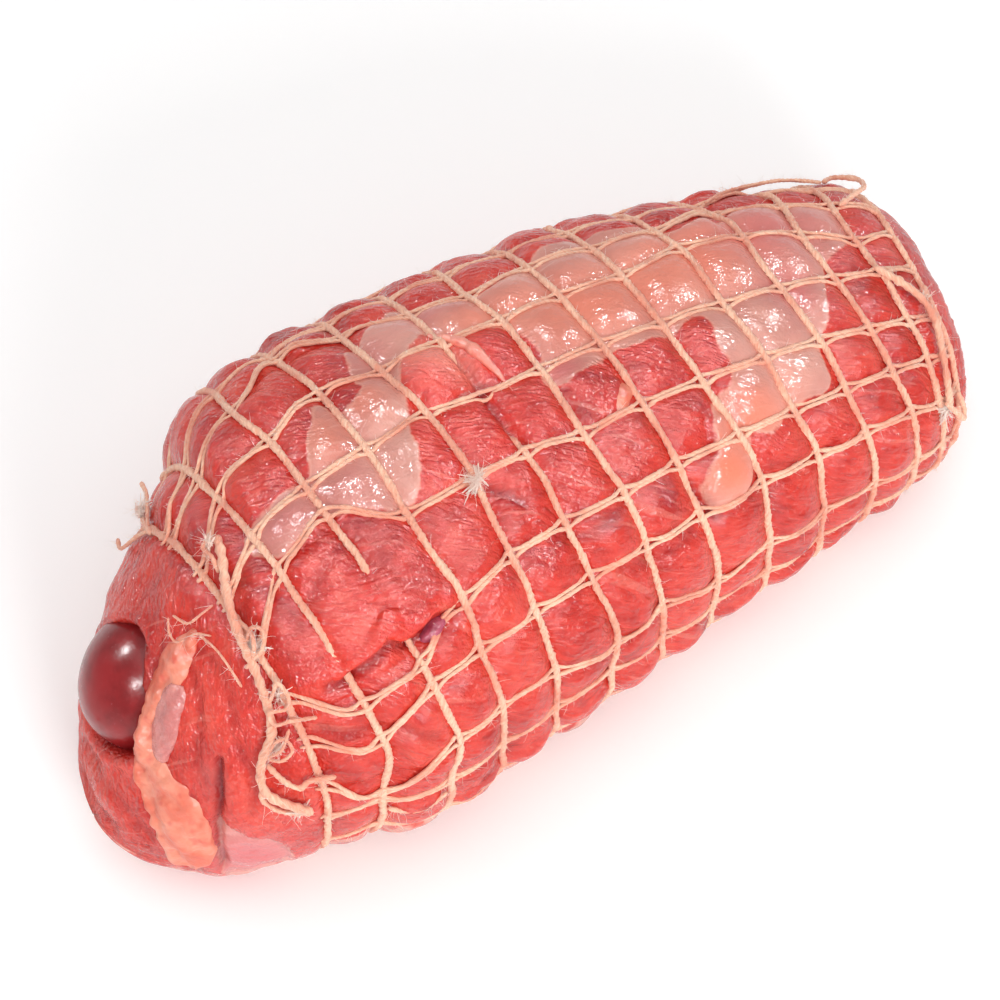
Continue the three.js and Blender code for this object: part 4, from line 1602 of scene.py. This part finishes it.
@dataclass
class Net:
    """The knitted butcher's net: rings round the roll, and strands of two threads along it."""

    surface: MeatSurface
    ring_radius: float = 0.92
    ring_lift: float = 0.85
    ring_step: float = 0.72
    ring_sides: int = 10
    thread_radius: float = 0.56
    thread_lift: float = 0.55
    thread_step: float = 0.85
    thread_sides: int = 7
    thread_apart: float = 0.5
    split_apart: float = 0.95
    split_reach: float = 2.6
    least_height: float = 1.5
    # Where a ring goes down into the meat: ring, from and to which angle, and how deep.
    sunk: tuple[tuple[int, float, float, float], ...] = ((5, -14, 15, 3.2),)

    def build(self) -> tuple[bpy.types.Object, bpy.types.Object, bpy.types.Object]:
        """Makes the rings, the strands and the fuzz on them."""
        maker = CordMaker()
        for ring in range(len(self.surface.shape.ring_x)):
            self._ring(maker, ring)
        rings = maker.mesh("net_rings")
        for strand in range(self.surface.net.strand_count):
            self._strand(maker, strand)
        strands = maker.mesh("net_strands")
        maker.fuzz(4200, 81)
        return rings, strands, maker.mesh("net_fuzz")

    def _laid(self, x: Array, degrees: Array, lift: Array) -> tuple[Array, Array]:
        """A taut line on the meat: it follows the grooves and evens out the small bumps."""
        shape = self.surface.shape
        base, outward = shape.surface(x, degrees), shape.outward(x, degrees)
        height = self.surface.height(x, degrees, base, outward)
        height = smoothed(np.maximum(smoothed(height, 11), height - 0.1), 5)
        path = base + outward * (height + lift)[:, None]
        path[:, 2] = np.maximum(path[:, 2], self.least_height)
        return path, outward

    def _ring(self, maker: CordMaker, ring: int) -> None:
        """One ring."""
        shape = self.surface.shape
        girth = FULL_TURN * float(shape.girth(np.array([shape.ring_x[ring]]))[0])
        degrees = np.linspace(180, 540, int(girth / self.ring_step))
        x = np.full(len(degrees), shape.ring_x[ring], float)
        x = x + self.surface.net.drawn(x, degrees)[0]
        x = x + 0.35 * maker.grain.at(np.stack([degrees / 9, x * 0 + ring * 3, x * 0], -1))
        lift = np.full(len(degrees), self.ring_lift)
        for number, start, end, depth in self.sunk:
            if number == ring:
                at = wrapped(degrees)
                lift -= depth * smooth_step((at - start) / 5) * smooth_step((end - at) / 5)
        path, outward = self._laid(x, degrees, lift)
        maker.cord(path, outward, self.ring_radius, self.ring_sides, plies=2, lay=3.4, uneven=0.2)

    def _strand(self, maker: CordMaker, strand: int) -> None:
        """One strand: two threads that part round each ring."""
        shape, net = self.surface.shape, self.surface.net
        x = np.arange(shape.ring_x[0] - 1.5, shape.ring_x[-1] + 1.5, self.thread_step)
        degrees = net.strand_angle(strand, x)
        degrees = degrees + net.drawn(x, degrees)[1]
        gap = net.ring_gap(x, degrees)
        split = np.exp(-((gap / self.split_reach) ** 2))
        wave = 0.35 * maker.grain.at(np.stack([x / 11, x * 0 + strand * 2.7, x * 0], -1))
        for side in (-1, 1):
            cross = np.sin(x / 6.5 + strand * 1.9 + side)
            apart = side * (self.thread_apart + self.split_apart * split) + 0.12 * cross + wave
            lift = self.thread_lift - 0.25 * split + 0.18 * side * np.sin(x / 6.5 + strand)
            path, outward = self._laid(x, degrees, lift)
            sideways = unit(np.cross(unit(np.gradient(path, axis=0)), outward))
            path = path + sideways * apart[:, None]
            path[:, 2] = np.maximum(path[:, 2], 1.0)
            maker.cord(
                path, outward, self.thread_radius, self.thread_sides, plies=2, lay=2.6, uneven=0.2, wide=1.1
            )


@dataclass
class LooseCords:
    """The tie cord, cut ends, stray threads and tufts."""

    surface: MeatSurface
    ground: EndGround
    tie_radius: float = 1.2
    tie_lift: float = 2.6
    tie_route: tuple[tuple[float, float], ...] = (
        (-106, -10), (-108, -4), (-112, 5), (-115, 15), (-117, 30), (-120, 43), (-126, 50), (-127, 60),
        (-119, 76),
    )
    # Threads on the kidney end's face: radius, then right, up and lift of each place.
    end_threads: tuple[tuple[float, Route], ...] = (
        (0.55, ((42.9, -2.7, 2.5), (45, 2.8, 3.5), (46.3, 5.7, 3.5), (49.1, 2.2, 3.5), (48.3, -1.4, 3),
                (44.3, -1.9, 4.5), (45.6, -5.4, 3.5), (49.7, -4.8, 2.5), (56, -4.2, 1.5))),
        (0.5, ((41.5, -15.1, 2.5), (45, -9.5, 4), (47.7, -8.9, 4), (49.1, -12.3, 3.5), (46.3, -14.3, 4.5),
               (42.9, -14.3, 3), (46.5, -11, 5), (48.5, -6, 4))),
        (0.75, ((42, -16.5, 2), (46.3, -20.5, 2.6), (50.5, -22.7, 2.4), (53.2, -21, 2), (60, -20.3, 1.4))),
        (0.7, ((40.1, -24, 2.0), (40.8, -26.7, 2.0), (44.3, -29.5, 1.6), (49.7, -30.9, 1.4),
               (51.1, -29.2, 2.4))),
        (0.35, ((17.4, 21.4, 1), (21.5, 19.4, 1), (25.7, 22.1, 1.2), (28.4, 24.3, 1))),
        (0.3, ((16, 21, 0.8), (16.4, 17, 1), (18.3, 14.6, 1), (21, 15.5, 1), (24, 17, 1), (28, 16.5, 0.8))),
        (0.35, ((25, 16.5, 1), (29.1, 13.2, 0.9), (32.6, 9, 0.9), (36.3, 3.2, 0.8))),
        (0.6, ((36, 21, 2), (39.5, 18.5, 3), (41.5, 16, 4), (41, 11, 3.5), (38.5, 8.5, 2.5))),
        (0.5, ((37.5, 14, 2), (40.5, 19, 4.5), (43.5, 18, 4), (42.5, 13, 3), (39, 10, 2.5))),
        (0.6, ((28.5, 41, 3.5), (27.5, 39, 3), (29.5, 37, 2.5), (31, 33, 2))),
    )
    # Threads on the roll: radius, then station, angle and lift of each place.
    roll_threads: tuple[tuple[float, Route], ...] = (
        (0.8, ((-109, -76, 4.5), (-111, -68, 3), (-114, -56, 1.8), (-116, -44, 1.2))),
        (0.6, ((-104, -70, 6), (-107, -64, 4), (-111, -58, 2.5), (-115.5, -48, 1.4))),
        (0.6, ((-119, -66, 5), (-121, -60, 3.5), (-118, -54, 2), (-116, -48, 1.4))),
        (0.5, ((76, -46, 1), (84, -52, 2.2), (93, -55, 3), (102, -54, 3), (109, -50, 1.6))),
        (0.5, ((80, -49, 1.2), (90, -56, 2.2), (100, -57, 3), (108, -52, 1.8))),
        (0.8, ((110, -52, 1.5), (113, -57, 2.5), (116, -50, 3.5), (116, -41, 3), (112.5, -34, 2.2),
               (107, -28, 1.2))),
        (1.15, ((103, 4, 1.4), (108, 12, 1.8), (112, 20, 2.2), (113, 28, 2.4), (111, 37, 2.4), (109, 46, 2.2),
               (107.5, 54, 2), (106, 63, 2))),
        (0.9, ((105, 60, 1.6), (108, 66, 3.2), (111, 70, 3.5), (113, 66, 3), (112, 58, 2.4))),
        (0.7, ((-99, 94, 1.4), (-93, 98, 1.8), (-88, 97, 1.6), (-84, 93, 1.6))),
    )

    # Tufts on the kidney end's face: right, up, and how many threads.
    end_tufts: tuple[tuple[float, float, int], ...] = (
        (41, 14, 30), (46, 2, 14), (45, -12, 20), (28.5, 40, 14), (50, -30, 12),
    )

    def build(self) -> tuple[bpy.types.Object, bpy.types.Object, bpy.types.Object]:
        """Makes the tie cord, all the other loose threads, and the frayed tufts."""
        maker = CordMaker()
        line = evenly(spline(self.tie_route, 12), 0.6)
        base, outward = self.surface.shape.surface(*line.T), self.surface.shape.outward(*line.T)
        path = evenly(np.concatenate([base + outward * self.tie_lift, outward], 1), 0.7)
        maker.cord(path[:, :3], unit(path[:, 3:]), self.tie_radius, 14, lay=7.5, uneven=0.14, wide=1.05)
        tie = maker.mesh("tie_cord_twine")
        for radius, route in self.end_threads:
            self._thread(maker, radius, route, self._end_places)
        for radius, route in self.roll_threads:
            self._thread(maker, radius, route, self._roll_places)
        threads = maker.mesh("loose_threads")
        self._tufts(maker)
        maker.fuzz(900, 82, (1.2, 4.0), 0.06)
        return tie, threads, maker.mesh("frayed_tufts")

    def _end_places(self, route: Array) -> tuple[Array, Array]:
        """Places above the kidney end's face."""
        spots, normals = self.ground.places(route[:, 0], route[:, 1])
        normals = np.broadcast_to(unit(normals.mean(0)), normals.shape)
        return spots + normals * route[:, 2:3], normals

    def _roll_places(self, route: Array) -> tuple[Array, Array]:
        """Places above the roll."""
        x, degrees = route[:, 0], route[:, 1]
        base, outward = self.surface.shape.surface(x, degrees), self.surface.shape.outward(x, degrees)
        return base + outward * route[:, 2:3], outward

    def _thread(self, maker: CordMaker, radius: float, route: Route, places: Placer) -> None:
        """One loose thread along its route."""
        spots, outward = places(np.array(route, float))
        smooth = evenly(spline(np.concatenate([spots, outward], 1), 12), max(radius * 0.8, 0.4))
        maker.cord(smooth[:, :3], unit(smooth[:, 3:]), radius, 8, lay=radius * 5, uneven=0.25, wide=1.0)

    def _tufts(self, maker: CordMaker) -> None:
        """The frayed tufts."""
        right, up, _ = self.ground.end.axes()
        middle, outward = self.surface.place(np.array([-41.0]), np.array([18.0]), 1.4)
        self._brush(maker, middle[0], outward[0], 34, 6.0, 91, -up * 1.0 - right * 0.5)
        self._brush(maker, middle[0], outward[0], 12, 4.5, 94, up * 1.0 + right * 0.6)
        middle, outward = self.surface.place(np.array([106.0]), np.array([63.0]), 1.5)
        self._brush(maker, middle[0], outward[0], 26, 4.5, 92, -up)
        middle, outward = self.surface.place(np.array([114.0]), np.array([20.0]), 1.0)
        self._brush(maker, middle[0], outward[0], 14, 4.0, 93, up)
        for seed, (u, v, count) in enumerate(self.end_tufts):
            spot, normal = self.ground.place(u, v)
            self._brush(maker, spot + normal * 2.0, normal, count, 3.6, 100 + seed, up * 0.3)
        middle, outward = self.surface.place(np.array([-113.0]), np.array([-60.0]), 3.0)
        self._brush(maker, middle[0], outward[0], 24, 5.5, 110, up)

    def _brush(self, maker: CordMaker, middle: Array, outward: Array, count: int, length: float, seed: int,
               lean: Array) -> None:
        """A brush of short thin threads that lie spread out from one place.

        Args:
            maker: Where they are added.
            middle: Where they meet.
            outward: The direction out of the meat.
            count: How many there are.
            length: How long they are at most.
            seed: Draws them.
            lean: The direction that most of them take.
        """
        draw = np.random.default_rng(seed)
        for _ in range(count):
            flat = draw.normal(size=3) * 0.6 + lean * 1.2
            heading = unit(unit(flat - outward * (flat @ outward)) + outward * draw.uniform(0.0, 0.45))
            share = np.linspace(0, 1, 9)[:, None]
            reach = length * draw.uniform(0.45, 1.0)
            curl = draw.normal(size=3) * 0.35 - outward * 0.35
            path = middle + draw.normal(size=3) * 0.5 + heading * reach * share + curl * reach * share**2
            upward = np.broadcast_to(outward, path.shape)
            maker.cord(path, upward, draw.uniform(0.13, 0.3), 6, 2, 1.2, 0.3, 1.0)


@dataclass
class Studio:
    """A plain pale floor, soft lights, and the camera at the photograph's angle."""

    aim: Point = (-5.83, 0.23, 50.0)
    distance: float = 1054.8
    lens: float = 133.8
    end: EndFace = EndFace()
    # Small lights for the wet glints: turn round the roast and height in degrees, and power.
    glints: tuple[tuple[float, float, float], ...] = (
        (60, 62, 7.5), (-60, 50, 9.0), (-150, 42, 8.0), (8, 40, 8.0), (125, 45, 7.0), (-100, 68, 6.5),
    )
    glint_size: float = 0.08
    glint_distance: float = 1.3
    sky: float = 0.615
    overhead: Point = (0.0, -0.1, 1.7)
    overhead_size: float = 1.6
    overhead_power: float = 10.5
    front: Point = (-0.3, -1.25, 0.7)
    front_size: float = 0.5
    front_power: float = 10.5
    floor_radius: float = 6.0

    def build(self) -> None:
        """Makes the floor, the lights and the camera."""
        scene = bpy.context.scene
        scene.view_settings.view_transform = "Standard"
        self._floor()
        world = bpy.data.worlds.new("studio")
        world.use_nodes = True
        background = world.node_tree.nodes["Background"]
        background.inputs["Color"].default_value = (1, 1, 1, 1)
        background.inputs["Strength"].default_value = self.sky
        scene.world = world
        self._light("overhead", self.overhead, self.overhead_size, self.overhead_power)
        self._light("front", self.front, self.front_size, self.front_power)
        for number, (turn, rise, power) in enumerate(self.glints):
            a, e = math.radians(turn), math.radians(rise)
            facing = Vector((math.cos(a) * math.cos(e), math.sin(a) * math.cos(e), math.sin(e)))
            glint = self._light(f"glint_{number}", facing * self.glint_distance, self.glint_size, power)
            glint.visible_diffuse = False
        self._camera()

    def _floor(self) -> None:
        """The floor, a wide disc."""
        shaper = bmesh.new()
        bmesh.ops.create_circle(shaper, cap_ends=True, segments=96, radius=self.floor_radius)
        mesh = bpy.data.meshes.new("floor")
        shaper.to_mesh(mesh)
        shaper.free()
        floor = bpy.data.objects.new("floor", mesh)
        bpy.context.scene.collection.objects.link(floor)
        paint = Paint("studio_floor")
        speck = paint.noise(paint.place(), 300.0, 2.0)
        colour = paint.mix(speck, (0.95, 0.95, 0.95, 1), (0.97, 0.97, 0.97, 1))
        paint.set(Base_Color=colour, Roughness=0.95, Specular_IOR_Level=0.0)
        paint.set(Emission_Color=(1.0, 1.0, 1.0, 1.0), Emission_Strength=0.11)
        mesh.materials.append(paint.material)

    def _light(self, name: str, place: Vector | Point, size: float, power: float) -> bpy.types.Object:
        """A square soft light that faces the roast."""
        lamp = bpy.data.lights.new(name, "AREA")
        lamp.size = size
        lamp.energy = power
        holder = bpy.data.objects.new(name, lamp)
        holder.location = place
        holder.rotation_euler = (Vector((0, 0, 0.05)) - Vector(place)).to_track_quat("-Z", "Y").to_euler()
        bpy.context.scene.collection.objects.link(holder)
        return holder

    def _camera(self) -> None:
        """The camera, by the direction that the kidney end's face is seen from."""
        right, up, back = self.end.axes()
        data = bpy.data.cameras.new("camera")
        data.lens = self.lens
        data.sensor_width = 36.0
        data.clip_end = 20.0
        camera = bpy.data.objects.new("camera", data)
        place = (np.array(self.aim) + back * self.distance) * MM
        camera.matrix_world = Matrix.Translation(place) @ Matrix([right, up, back]).transposed().to_4x4()
        bpy.context.scene.collection.objects.link(camera)
        bpy.context.scene.camera = camera


class Roast:
    """The whole roast: its sub-assemblies in the order in which they are made."""

    def __init__(self) -> None:
        """Sets up the shape, the net's layout and the meat's surface."""
        shape = RollShape()
        self.end = EndFace()
        self.surface = MeatSurface(shape, NetLayout(shape), self.end)

    def build(self) -> None:
        """Makes and dresses every piece."""
        muscle = MuscleFinish().material("veal_muscle")
        fat = FatFinish().material("soft_fat")
        membrane = FatFinish("C87672", "D88C84", "C46A66", 0.2).material("kidney_membrane")
        cotton = CordFinish().material("net_cotton")
        fluff = CordFinish("FBE3D6", "FFF6EE", "F3C9B6").material("loose_fluff")
        meat = dress(MeatRoll(self.surface).build(), muscle, Slot.VEAL, "veal_roll")
        dress(Kidney().build(), KidneyFinish().material("kidney"), Slot.KIDNEY, "kidney")
        ground = EndGround(self.end, meat)
        band, strip = KidneyFat(ground).build()
        dress(band, fat, Slot.FAT, "kidney_fat")
        dress(strip, membrane, Slot.SILVERSKIN)
        flap, scrap, fleck, vein = MeatFlap(self.surface).build()
        dress(vein, FatFinish("9A3450", "B8566C", "7E1E34", 0.1).material("dark_vein"), Slot.SILVERSKIN)
        dress(flap, muscle, Slot.VEAL)
        dress(scrap, FatFinish("EE8675", "F49A88", "E65A50", 0.22).material("pink_scrap"), Slot.SILVERSKIN)
        dress(fleck, fat, Slot.FAT)
        rings, strands, fuzz = Net(self.surface).build()
        dress(rings, cotton, Slot.CORD, "net")
        dress(strands, cotton, Slot.CORD)
        dress(fuzz, fluff, Slot.CORD)
        tie, threads, tufts = LooseCords(self.surface, ground).build()
        dress(tie, cotton, Slot.CORD, "tie_cord")
        dress(threads, cotton, Slot.CORD)
        dress(tufts, fluff, Slot.CORD)


def main() -> None:
    """Builds the studio and the roast."""
    logging.basicConfig(level=logging.INFO, format="%(name)s %(message)s")
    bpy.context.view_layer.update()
    Studio().build()
    Roast().build()


if __name__ == "__main__":
    main()
